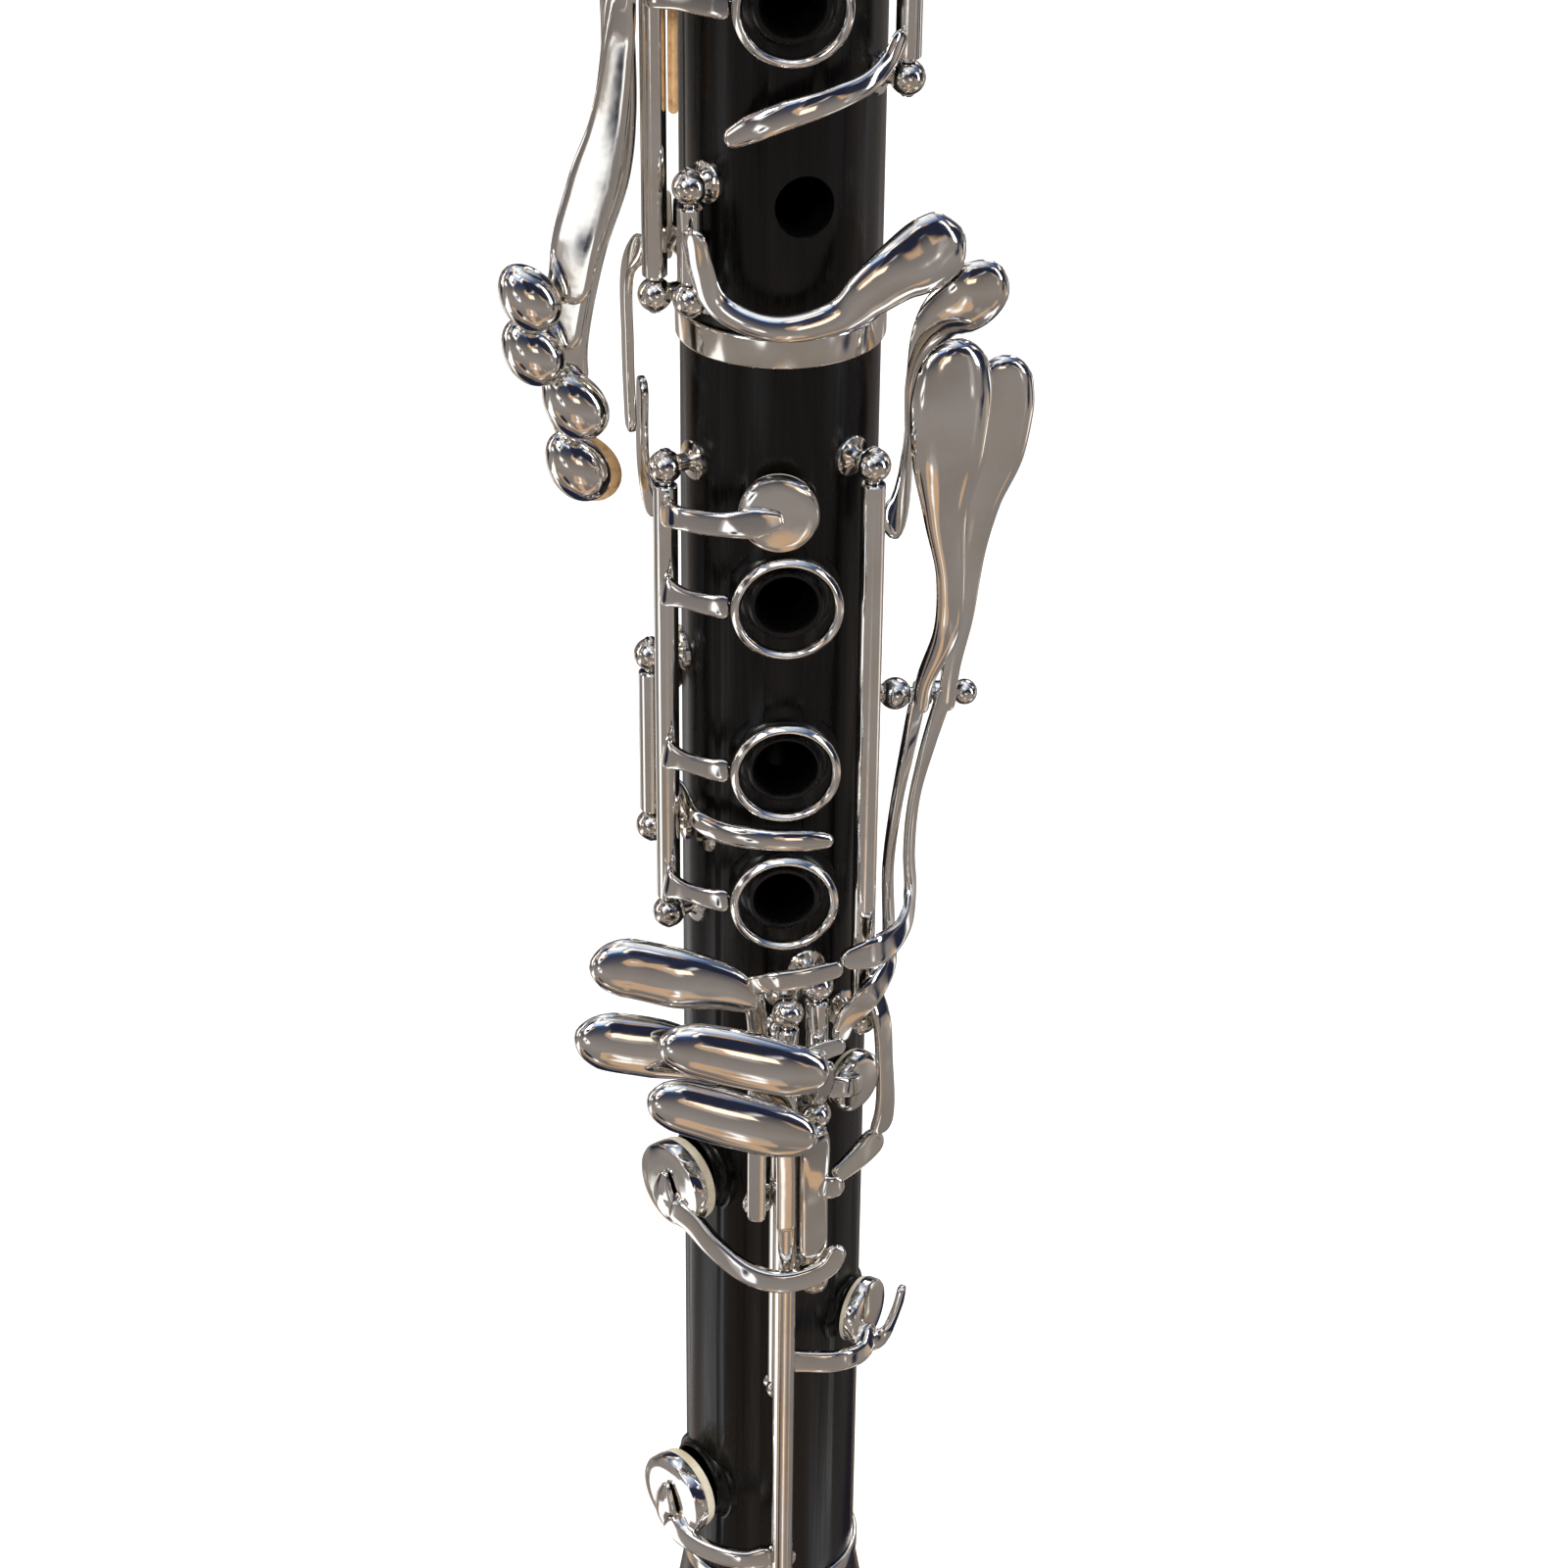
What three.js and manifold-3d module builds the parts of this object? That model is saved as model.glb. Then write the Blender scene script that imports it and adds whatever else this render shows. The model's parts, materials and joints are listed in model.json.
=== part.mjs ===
// A Boehm-system soprano clarinet, standing on its bell: five wooden joints, their corks and metal rings,
// the reed and its ligature, and the keywork as separate keys on rods carried by posts.
// Millimetres. +Z runs up the bore, the bell rim is at Z = 0, and the tone holes face -Y.
import * as THREE from "three";
import { mergeVertices } from "three/addons/utils/BufferGeometryUtils.js";
import Module from "manifold-3d";

const wasm = await Module();
wasm.setup();

// ---- driving dimensions ----
const BELL_LENGTH = 104.5; // the height of each joint that shows, from the bell up
const LOWER_LENGTH = 222.5;
const UPPER_LENGTH = 202;
const BARREL_LENGTH = 65;
const MOUTHPIECE_LENGTH = 74;
const BODY_R = 14; // outside of the upper and lower joints
const BORE_R = 7.3;
const BELL_RIM_R = 39.5;
const BELL_WALL = 3.2;
const BELL_WAIST_R = 16.5; // just above the bell's socket ring
const TENON_LENGTH = 17;
const TENON_WALL = 3; // wood left round the bore in a tenon
const CORK_THICK = 1;
const RING_HEIGHT = 4.5;
const RING_PROUD = 0.7; // how far a metal ring stands out of the wood
const RING_THICK = 1.2;
const GAP = 0.3; // clearance between neighbours
const TUBE_R = 1.75; // hinge tube
const TUBE_WALL = 0.5;
const SLIM_TUBE_R = 1.5; // hinge tube that lies below another
const BALL_R = 2.4; // head of a post
const STEM_R = 1.25;
const COLLAR_R = 2.2;
const COLLAR_HEIGHT = 0.9;
const FINGER_RING_R = 7.9; // ring round a finger hole
const FINGER_RING_BORE = 6.3;
const CHIMNEY_R = 5.3; // wood raised inside a finger ring
const CHIMNEY_LIFT = 2.9;
const PAD_THICK = 1.5;
const CUP_THICK = 1.5;
const SEAT_LIFT = 0.7; // rim of a padded hole above the wood
const SIDES = 18; // facets round the body
const TUBE_SIDES = 8;
const ROD_SIDES = 6;
const DISC_SIDES = 10;

// ---- heights ----
const LOWER_BASE = BELL_LENGTH;
const UPPER_BASE = LOWER_BASE + LOWER_LENGTH;
const BARREL_BASE = UPPER_BASE + UPPER_LENGTH;
const MOUTHPIECE_BASE = BARREL_BASE + BARREL_LENGTH;
const TIP_HEIGHT = MOUTHPIECE_BASE + MOUTHPIECE_LENGTH;
// Tone holes lie at shares of their joint's length, so the key stations are drawn on joints of these
// lengths and follow the joint when its length changes.
const DRAWN_BELL = 104.5;
const DRAWN_LOWER = 222.5;
const DRAWN_UPPER = 202;
const low = (drawn) => LOWER_BASE + ((drawn - DRAWN_BELL) * LOWER_LENGTH) / DRAWN_LOWER;
const up = (drawn) => UPPER_BASE + ((drawn - DRAWN_BELL - DRAWN_LOWER) * UPPER_LENGTH) / DRAWN_UPPER;
// A height on either joint.
const key = (drawn) => (drawn < DRAWN_BELL + DRAWN_LOWER ? low(drawn) : up(drawn));

// ---- materials ----
const metal = (color, roughness) => new THREE.MeshStandardMaterial({ color, roughness, metalness: 1 });
const plain = (color, roughness) => new THREE.MeshStandardMaterial({ color, roughness, metalness: 0 });
const SILVER = metal(0xc9c7c2, 0.12);
const WOOD = plain(0x0f0d0d, 0.35);
const EBONITE = plain(0x0b0b0c, 0.2);
const CORK = plain(0xb98a55, 0.9);
const CANE = plain(0xd8c48c, 0.6);
const PAD = plain(0xe6dcc4, 0.7);

// ---- solids ----
function solid(geometry) {
  const bare = geometry.index ? geometry.toNonIndexed() : geometry.clone();
  bare.deleteAttribute("normal");
  bare.deleteAttribute("uv");
  const merged = mergeVertices(bare, 1e-4);
  return new wasm.Manifold(
    new wasm.Mesh({
      numProp: 3,
      vertProperties: merged.attributes.position.array,
      triVerts: new Uint32Array(merged.index.array),
    }),
  );
}

const join = (solids) => solids.reduce((sum, one) => sum.add(one));

function geometryOf(body) {
  const mesh = body.getMesh();
  const stride = mesh.numProp;
  const positions = new Float32Array(mesh.numVert * 3);
  for (let i = 0; i < mesh.numVert; i++) {
    positions.set(mesh.vertProperties.subarray(i * stride, i * stride + 3), i * 3);
  }
  const geometry = new THREE.BufferGeometry();
  geometry.setAttribute("position", new THREE.BufferAttribute(positions, 3));
  geometry.setIndex(new THREE.BufferAttribute(mesh.triVerts, 1));
  geometry.computeVertexNormals();
  return geometry;
}

// A point at a lift above the wood, at an angle round the body from the front (-Y) toward +X.
function at(lift, phi, z) {
  const angle = THREE.MathUtils.degToRad(phi);
  const r = BODY_R + lift;
  return new THREE.Vector3(r * Math.sin(angle), -r * Math.cos(angle), z);
}

const facing = (phi) => at(1 - BODY_R, phi, 0);
const around = (phi) => facing(phi + 90); // the direction round the body

// Turns a solid whose axis is +Y so that the axis points along a direction, and moves it there.
function placed(geometry, direction, position) {
  const turn = new THREE.Quaternion().setFromUnitVectors(new THREE.Vector3(0, 1, 0), direction);
  return solid(geometry.applyQuaternion(turn).translate(position.x, position.y, position.z));
}

// A round solid about the body's axis from [radius, height] pairs that close on themselves.
function turned(profile, sides = SIDES) {
  const points = [...profile, profile[0]].map(([r, z]) => new THREE.Vector2(r, z));
  return solid(new THREE.LatheGeometry(points, sides).rotateX(Math.PI / 2));
}

// Lathe profiles run up the outside and down the inside.
const sleeve = (inner, outer, z0, z1) =>
  turned([
    [outer, z0],
    [outer, z1],
    [inner, z1],
    [inner, z0],
  ]);

// A round bar between two points.
function bar(from, to, radius, sides = ROD_SIDES) {
  const along = new THREE.Vector3().subVectors(to, from);
  const middle = new THREE.Vector3().addVectors(from, to).multiplyScalar(0.5);
  const cylinder = new THREE.CylinderGeometry(radius, radius, along.length(), sides);
  return placed(cylinder, along.normalize(), middle);
}

const ball = (center, radius) =>
  solid(new THREE.SphereGeometry(radius, 6, 4).translate(center.x, center.y, center.z));

// A flat round solid seen from outside the body: [radius, lift] pairs above the wood's centre line.
function disc(phi, z, profile, sides = DISC_SIDES) {
  const points = profile.map(([r, lift]) => new THREE.Vector2(r, BODY_R + lift));
  return placed(new THREE.LatheGeometry(points, sides), facing(phi), new THREE.Vector3(0, 0, z));
}

// The same for a pad or cup that stands open: drawn shut, then swung off its hole about its hinge.
function openDisc(line, degrees, phi, z, profile) {
  const points = profile.map(([r, lift]) => new THREE.Vector2(r, BODY_R + lift));
  const turn = new THREE.Quaternion().setFromUnitVectors(new THREE.Vector3(0, 1, 0), facing(phi));
  const hinge = at(line.lift, line.phi, 0);
  const swing = THREE.MathUtils.degToRad(degrees) * Math.sign(line.phi - phi);
  const shut = new THREE.LatheGeometry(points, DISC_SIDES).applyQuaternion(turn).translate(0, 0, z);
  return solid(shut.translate(-hinge.x, -hinge.y, 0).rotateZ(swing).translate(hinge.x, hinge.y, 0));
}

// A bar of flattened section that follows points [lift, phi, height, facing angle].
// Its width lies across the facing direction, which is straight out from the body unless it is given.
function strap(stations, widths, thick, sides = 4) {
  const path = new THREE.CatmullRomCurve3(
    stations.map(([lift, phi, z]) => at(lift, phi, z)),
    false,
    "centripetal",
  );
  const steps = stations.length - 1;
  const blank = new THREE.CylinderGeometry(1, 1, 1, sides, steps).rotateY(Math.PI / sides);
  const spots = blank.attributes.position;
  const squaring = 1 / Math.cos(Math.PI / sides);
  for (let i = 0; i < spots.count; i++) {
    const t = 0.5 - spots.getY(i);
    const place = t * (stations.length - 1);
    const first = Math.min(Math.floor(place + 1e-6), stations.length - 2);
    const share = place - first;
    const blend = (values) => values[first] + (values[first + 1] - values[first]) * share;
    const face = facing(blend(stations.map(([, phi, , turn]) => turn ?? phi)));
    face.z = 0.2; // keeps a width across a stretch that runs straight out from the body
    const along = path.getTangent(t);
    const across = new THREE.Vector3().crossVectors(along, face).normalize();
    const outward = new THREE.Vector3().crossVectors(across, along).normalize();
    const spot = path
      .getPoint(t)
      .addScaledVector(across, (spots.getX(i) * squaring * blend(widths)) / 2)
      .addScaledVector(outward, (spots.getZ(i) * squaring * thick) / 2);
    spots.setXYZ(i, spot.x, spot.y, spot.z);
  }
  const bent = solid(blank);
  return bent.volume() < 0 ? solid(flipped(blank)) : bent;
}

function flipped(geometry) {
  const index = geometry.index;
  for (let i = 0; i < index.count; i += 3) {
    const first = index.getX(i);
    index.setX(i, index.getX(i + 1));
    index.setX(i + 1, first);
  }
  return geometry;
}

// ---- keywork vocabulary ----
// A post: a ball on a stem that screws into the wood, with a collar at its foot.
function post(lift, phi, z, ballR = BALL_R, collarR = COLLAR_R) {
  const foot = at(GAP, phi, z);
  const head = at(lift, phi, z);
  return join([
    ball(head, ballR),
    bar(foot, head, STEM_R),
    bar(foot, at(GAP + COLLAR_HEIGHT, phi, z), collarR),
  ]);
}

// A rod along the bore with a post at each height.
function postedRod(lift, phi, heights, rodR = TUBE_R - TUBE_WALL - GAP) {
  const rod = bar(at(lift, phi, heights[0]), at(lift, phi, heights[heights.length - 1]), rodR);
  return join([rod, ...heights.map((z) => post(lift, phi, z))]);
}

// The stretch of a hinge tube between two posts.
const between = (z0, z1) => [z0 + BALL_R + GAP, z1 - BALL_R - GAP];

// A key that swings on a rod: its arms joined to a hinge tube, with the rod's bore cut through.
function hinged(lift, phi, [z0, z1], arms, tubeR = TUBE_R) {
  const tube = bar(at(lift, phi, z0), at(lift, phi, z1), tubeR, TUBE_SIDES);
  const bore = bar(at(lift, phi, z0 - 1), at(lift, phi, z1 + 1), tubeR - TUBE_WALL, TUBE_SIDES);
  return join([tube, ...arms]).subtract(bore);
}

// A ring round a finger hole, at a lift above the wood.
const fingerRing = (lift, phi, z) =>
  disc(
    phi,
    z,
    [
      [FINGER_RING_BORE, lift - 0.7],
      [FINGER_RING_R, lift - 0.7],
      [FINGER_RING_R, lift + 0.3],
      [FINGER_RING_R - 0.5, lift + 0.7],
      [FINGER_RING_BORE, lift + 0.7],
      [FINGER_RING_BORE, lift - 0.7],
    ],
    14,
  );

// A domed cup above a pad whose lower face is at a lift above the wood.
const cupProfile = (lift, radius) => {
  const floor = lift + PAD_THICK + GAP;
  return [
    [0, floor],
    [radius, floor],
    [radius, floor + CUP_THICK / 2],
    [radius * 0.7, floor + CUP_THICK],
    [0, floor + CUP_THICK],
  ];
};
const padProfile = (lift, radius) => [
  [0, lift],
  [radius - 0.1, lift],
  [radius - 0.1, lift + PAD_THICK],
  [0, lift + PAD_THICK],
];
const paddedProfile = (lift, radius) => {
  const top = lift + PAD_THICK + CUP_THICK;
  return [
    [0, lift],
    [radius, lift],
    [radius, top - CUP_THICK / 2],
    [radius * 0.7, top],
    [0, top],
  ];
};


// ---- tone holes ----
const drill = (phi, z, radius) => {
  const inside = new THREE.Vector3(0, 0, z);
  return bar(inside, at(CHIMNEY_LIFT + 1, phi, z), radius, TUBE_SIDES);
};
const chimney = (phi, z, radius, lift) =>
  disc(
    phi,
    z,
    [
      [0, -3],
      [radius, -3],
      [radius, lift],
      [0, lift],
    ],
    TUBE_SIDES,
  );

// Where the two big open cups of the lower joint stand: [angle, height].
const F_C_CUP = [-59, low(185)];
const E_B_CUP = [-59, low(122)];

// Where the side keys' pads lie: [angle, height], from the longest key to the shortest.
const SIDE_PADS = [
  [-59, up(478)],
  [-82, up(462)],
  [-99, up(446)],
  [-115, up(430)],
];
// [angle, height, hole radius, chimney radius, chimney lift]
const LOWER_HOLES = [
  [0, low(287.9), 4, CHIMNEY_R, CHIMNEY_LIFT],
  [0, low(261.6), 4.2, CHIMNEY_R, CHIMNEY_LIFT],
  [0, low(239.7), 4, CHIMNEY_R, CHIMNEY_LIFT],
  [-2.6, low(302.5), 2.8, 4, SEAT_LIFT],
  [-112, low(268), 2.5, 3.7, SEAT_LIFT],
  [43, low(204), 3, 4, SEAT_LIFT],
  [...F_C_CUP, 5, 6.2, SEAT_LIFT],
  [57, low(157), 4.2, 5.2, SEAT_LIFT],
  [...E_B_CUP, 5.4, 6.4, SEAT_LIFT],
];
const UPPER_HOLES = [
  [9, up(345.3), 3.9, 5, 0.4],
  [0, up(373.7), 3.9, CHIMNEY_R, CHIMNEY_LIFT],
  [0, up(394), 3.6, CHIMNEY_R, CHIMNEY_LIFT],
  [180, up(411), 3.6, CHIMNEY_R, CHIMNEY_LIFT],
  [-90, up(338), 2.6, 3.7, SEAT_LIFT],
  [97, up(388), 2.4, 3.6, SEAT_LIFT],
  [-2, up(417), 2.4, 3.6, SEAT_LIFT],
  [75, up(446), 2.3, 3.5, SEAT_LIFT],
  [8, up(474), 2.3, 3.5, SEAT_LIFT],
  ...SIDE_PADS.map(([phi, z]) => [phi, z, 2.3, 3.5, SEAT_LIFT]),
];
// The register vent has a short brass-free wooden nipple at the back.
const REGISTER_SEAT = 1.6;
const REGISTER_VENT = [180, up(508), 1.6, 2.8, REGISTER_SEAT];

function withHoles(body, holes) {
  const raised = join([body, ...holes.map(([phi, z, , r, lift]) => chimney(phi, z, r, lift))]);
  return holes.reduce((sum, [phi, z, r]) => sum.subtract(drill(phi, z, r)), raised);
}

// ---- wooden joints ----
const TENON_R = BORE_R + TENON_WALL;
const CORK_R = TENON_R + CORK_THICK;
const SOCKET_R = CORK_R + GAP;
const SOCKET_DEPTH = TENON_LENGTH + GAP;
const RING_SEAT_R = BODY_R + RING_PROUD - RING_THICK;

// A joint with a tenon below, and a socket or a second tenon above.
function joint(z0, z1, top) {
  const wall = [
    [TENON_R, z0 - TENON_LENGTH],
    [TENON_R, z0 + GAP],
    [BODY_R, z0 + GAP],
  ];
  const socket = [
    [BODY_R, z1 - RING_HEIGHT - GAP],
    [RING_SEAT_R - GAP, z1 - RING_HEIGHT - GAP],
    [RING_SEAT_R - GAP, z1],
    [SOCKET_R, z1],
    [SOCKET_R, z1 - SOCKET_DEPTH],
    [BORE_R, z1 - SOCKET_DEPTH],
  ];
  const tenon = [
    [BODY_R, z1],
    [TENON_R, z1],
    [TENON_R, z1 + TENON_LENGTH],
    [BORE_R, z1 + TENON_LENGTH],
  ];
  return turned([...wall, ...(top === "socket" ? socket : tenon), [BORE_R, z0 - TENON_LENGTH]]);
}

const CORK_INSET = 2.5;
const tenonCork = (z0, z1) => sleeve(TENON_R + 0.02, CORK_R, z0 + CORK_INSET, z1 - CORK_INSET);
// A groove that holds each cork, so that cork and wood keep their clearance.
const corkGroove = (z0, z1) =>
  sleeve(TENON_R + 0.02 - GAP, CORK_R + 1, z0 + CORK_INSET - GAP, z1 - CORK_INSET + GAP);

const lowerJoint = withHoles(
  joint(LOWER_BASE, UPPER_BASE, "socket").subtract(corkGroove(LOWER_BASE - TENON_LENGTH, LOWER_BASE)),
  LOWER_HOLES,
);
const upperJoint = withHoles(
  joint(UPPER_BASE, BARREL_BASE, "tenon")
    .subtract(corkGroove(UPPER_BASE - TENON_LENGTH, UPPER_BASE))
    .subtract(corkGroove(BARREL_BASE, BARREL_BASE + TENON_LENGTH)),
  [...UPPER_HOLES, REGISTER_VENT],
);

const BARREL_BULGE = 1.4;
function barrel() {
  const z0 = BARREL_BASE + GAP;
  const z1 = MOUTHPIECE_BASE - GAP;
  const seat = RING_SEAT_R - GAP;
  const middle = (z0 + z1) / 2;
  return turned([
    [SOCKET_R, z0],
    [seat, z0],
    [seat, z0 + RING_HEIGHT + GAP],
    [BODY_R + 0.5, z0 + RING_HEIGHT + GAP],
    [BODY_R + BARREL_BULGE, middle - 6],
    [BODY_R + BARREL_BULGE, middle + 6],
    [BODY_R, z1 - RING_HEIGHT - GAP],
    [seat, z1 - RING_HEIGHT - GAP],
    [seat, z1],
    [SOCKET_R, z1],
    [SOCKET_R, z1 - SOCKET_DEPTH],
    [BORE_R, z1 - SOCKET_DEPTH],
    [BORE_R, z0 + SOCKET_DEPTH],
    [SOCKET_R, z0 + SOCKET_DEPTH],
  ]);
}

const metalRing = (z0, proud = RING_PROUD) =>
  turned([
    [RING_SEAT_R, z0],
    [BODY_R + proud, z0],
    [BODY_R + proud, z0 + RING_HEIGHT],
    [RING_SEAT_R, z0 + RING_HEIGHT],
  ]);

// The bell flares along a curve from the waist to the rim.
const BELL_RING_HEIGHT = 3;
const BELL_FLARE_STEPS = 7;
const RIM_RING_HEIGHT = 3.6;
const RIM_RING_THICK = 1.3;
function bell() {
  const top = BELL_LENGTH;
  const shoulder = top - BELL_RING_HEIGHT - GAP;
  const rimTop = RIM_RING_HEIGHT + GAP;
  const rimR = BELL_RIM_R - RIM_RING_THICK - GAP;
  const flare = (z) => {
    const share = (top - 20 - z) / (top - 20 - rimTop);
    return BELL_WAIST_R + (BELL_RIM_R - 0.4 - BELL_WAIST_R) * (0.35 * share + 0.65 * share ** 3.2);
  };
  const outside = [];
  const inside = [];
  for (let i = 0; i <= BELL_FLARE_STEPS; i++) {
    const z = rimTop + ((top - 20 - rimTop) * i) / BELL_FLARE_STEPS;
    outside.push([flare(z), z]);
    inside.unshift([flare(z) - BELL_WALL - 4.5 * (i / BELL_FLARE_STEPS) ** 1.5, z]);
  }
  return turned([
    [rimR - BELL_WALL + 1.4, 0],
    [rimR, 0],
    [rimR, rimTop],
    ...outside,
    [BODY_R + 0.5, shoulder],
    [RING_SEAT_R - GAP, shoulder],
    [RING_SEAT_R - GAP, top],
    [SOCKET_R, top],
    [SOCKET_R, top - SOCKET_DEPTH],
    [BORE_R + 0.7, top - SOCKET_DEPTH],
    ...inside.slice(1),
  ]);
}
const bellRimRing = () => {
  const inner = BELL_RIM_R - RIM_RING_THICK;
  return turned([
    [inner, 0],
    [BELL_RIM_R, 0],
    [BELL_RIM_R, RIM_RING_HEIGHT],
    [inner, RIM_RING_HEIGHT],
  ]);
};
const bellSocketRing = () => {
  const z0 = BELL_LENGTH - BELL_RING_HEIGHT;
  return turned([
    [RING_SEAT_R, z0],
    [BODY_R + RING_PROUD, z0],
    [BODY_R + RING_PROUD, BELL_LENGTH],
    [RING_SEAT_R, BELL_LENGTH],
  ]);
};

// ---- mouthpiece, reed and ligature ----
const MOUTHPIECE_R = 13;
const MOUTHPIECE_TOP_R = 9.5;
const TABLE_DEPTH = 8.3; // flat that the reed lies on, behind the axis
const TIP_OPENING = 1.1;
const REED_WIDTH = 12.6;
const REED_HEEL = 3;
const REED_TIP = 0.4;
const LIGATURE_HEIGHT = 25;
const LIGATURE_THICK = 0.9;
function block(x0, x1, y0, y1, z0, z1) {
  const box = new THREE.BoxGeometry(x1 - x0, y1 - y0, z1 - z0);
  return solid(box.translate((x0 + x1) / 2, (y0 + y1) / 2, (z0 + z1) / 2));
}
// An outline in the Y-Z plane drawn out across X.
function sidePlate(outline, width) {
  const shape = new THREE.Shape(outline.map(([y, z]) => new THREE.Vector2(y, z)));
  const plate = new THREE.ExtrudeGeometry(shape, { depth: width, bevelEnabled: false });
  plate.translate(0, 0, -width / 2).rotateX(Math.PI / 2).rotateZ(Math.PI / 2);
  return solid(plate);
}
const BEAK_HEIGHT = 34;
function mouthpiece() {
  const z0 = MOUTHPIECE_BASE;
  const z1 = TIP_HEIGHT;
  const shell = turned([
    [BORE_R, z0 - TENON_LENGTH],
    [TENON_R, z0 - TENON_LENGTH],
    [TENON_R, z0],
    [MOUTHPIECE_R, z0],
    [MOUTHPIECE_R - 0.6, z0 + 12],
    [MOUTHPIECE_TOP_R, z1],
    [BORE_R - 1.6, z1],
    [BORE_R - 0.6, z0 + 20],
  ]);
  const far = 3 * MOUTHPIECE_R;
  const table = block(-far, far, TABLE_DEPTH, far, z0 + 3, z1 + 1);
  const beak = sidePlate(
    [
      [-far, z1 - BEAK_HEIGHT],
      [-MOUTHPIECE_R + 1.4, z1 - BEAK_HEIGHT],
      [TABLE_DEPTH - TIP_OPENING - 0.9, z1 + 0.5],
      [TABLE_DEPTH - TIP_OPENING - 0.9, z1 + 5],
      [-far, z1 + 5],
    ],
    2 * far,
  );
  const tipRelief = sidePlate(
    [
      [TABLE_DEPTH + 1, z1 - 22],
      [TABLE_DEPTH, z1 - 22],
      [TABLE_DEPTH - TIP_OPENING, z1 + 1],
      [TABLE_DEPTH + 1, z1 + 1],
    ],
    2 * far,
  );
  const window = block(-4.6, 4.6, 1, TABLE_DEPTH + 1, z1 - 31, z1 - 2.4);
  // The roof of the chamber closes the bore below the beak.
  const roof = sidePlate(
    [
      [-MOUTHPIECE_R + 2.6, z1 - BEAK_HEIGHT - 8],
      [-1, z1 - BEAK_HEIGHT + 8],
      [TABLE_DEPTH - 2.6, z1 - 2.6],
      [TABLE_DEPTH - 2.6, z1],
      [-MOUTHPIECE_R + 2.6, z1],
    ],
    2 * (BORE_R - 0.9),
  );
  return join([shell, roof])
    .subtract(table)
    .subtract(beak)
    .subtract(tipRelief)
    .subtract(window)
    .subtract(corkGroove(z0 - TENON_LENGTH, z0));
}
function reed() {
  const y = TABLE_DEPTH + GAP;
  return sidePlate(
    [
      [y, MOUTHPIECE_BASE + 4],
      [y + REED_HEEL, MOUTHPIECE_BASE + 4],
      [y + REED_HEEL, TIP_HEIGHT - 36],
      [y + 1.2, TIP_HEIGHT - 18],
      [y + REED_TIP, TIP_HEIGHT - 0.4],
      [y, TIP_HEIGHT - 0.4],
    ],
    REED_WIDTH,
  );
}
const LIGATURE_BASE = MOUTHPIECE_BASE + 9;
function ligature() {
  const ringOf = (grow) => {
    const shape = new THREE.Shape();
    const back = TABLE_DEPTH + GAP + REED_HEEL + GAP + 1;
    const half = MOUTHPIECE_R + GAP;
    shape.absellipse(0, (back - half) / 2, half + grow, (back + half) / 2 + grow, 0, 2 * Math.PI);
    return shape;
  };
  const extrude = (shape, z0, height) => {
    const options = { depth: height, bevelEnabled: false, curveSegments: 9 };
    return solid(new THREE.ExtrudeGeometry(shape, options).translate(0, 0, z0));
  };
  const z0 = LIGATURE_BASE;
  const back = TABLE_DEPTH + GAP + REED_HEEL + GAP;
  const shell = extrude(ringOf(LIGATURE_THICK + 0.6), z0, LIGATURE_HEIGHT);
  const inside = extrude(ringOf(0.6), z0 - 1, LIGATURE_HEIGHT + 2);
  const side = REED_WIDTH / 2 + GAP;
  const reedRoom = block(-side, side, 0, back, z0 - 1, z0 + LIGATURE_HEIGHT + 1);
  const screws = [5, 19].map((rise) => {
    const y = back + 3.6;
    const z = z0 + rise;
    const left = new THREE.Vector3(-11, y, z);
    return join([
      bar(left, new THREE.Vector3(6, y, z), 1.1, 8),
      bar(left, new THREE.Vector3(-14.5, y, z), 3, 12),
      bar(new THREE.Vector3(-6, y, z), new THREE.Vector3(-3, y, z), 2.3, 10),
      bar(new THREE.Vector3(3, y, z), new THREE.Vector3(6, y, z), 2.3, 10),
      block(-5.6, -3.4, back + 0.6, y, z - 1.6, z + 1.6),
      block(3.4, 5.6, back + 0.6, y, z - 1.6, z + 1.6),
    ]);
  });
  return join([shell.subtract(inside), ...screws]).subtract(reedRoom);
}

// ---- thumb rest ----
const REST_PHI = 180;
function thumbRest() {
  const z = low(276);
  const plate = strap(
    [
      [GAP + 0.8, REST_PHI, z - 16],
      [GAP + 0.8, REST_PHI, z + 10],
    ],
    [11, 11],
    1.5,
    4,
  );
  const hook = strap(
    [
      [GAP + 0.9, REST_PHI, z],
      [6, REST_PHI, z + 0.6],
      [12, REST_PHI, z - 1],
      [16.5, REST_PHI, z - 6],
    ],
    [12, 13, 14, 12],
    2.2,
    6,
  );
  return join([plate, hook]);
}

// ---- hinge lines: [lift, angle, lower post, upper post] ----
const OPEN = SEAT_LIFT + 1.9; // lower face of an open pad, over the middle of its hole
const RING_SWING = 3.5; // degrees that a ring key turns
const LITTLE_SWING = 5.5; // degrees that the two big open keys turn
const SHUT = SEAT_LIFT + GAP;
const LOWER_STACK = { lift: 4.6, phi: -62.5, posts: [low(233), low(306)] };
const LOWER_SLIVER = { lift: 5, phi: -79.5, posts: [low(245), low(274)] };
const E_B = { lift: 5.8, phi: 1.5, posts: [low(110), low(222)] };
const F_SHARP = { lift: 1.95, phi: -1, posts: [low(147.5), low(216.4)] };
const F_C = { lift: 5.2, phi: 15, posts: [low(171), low(202.5), low(226)] };
const LEFT_F_C = { lift: 4.4, phi: 41, posts: [low(216.3), low(308)] };
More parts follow.
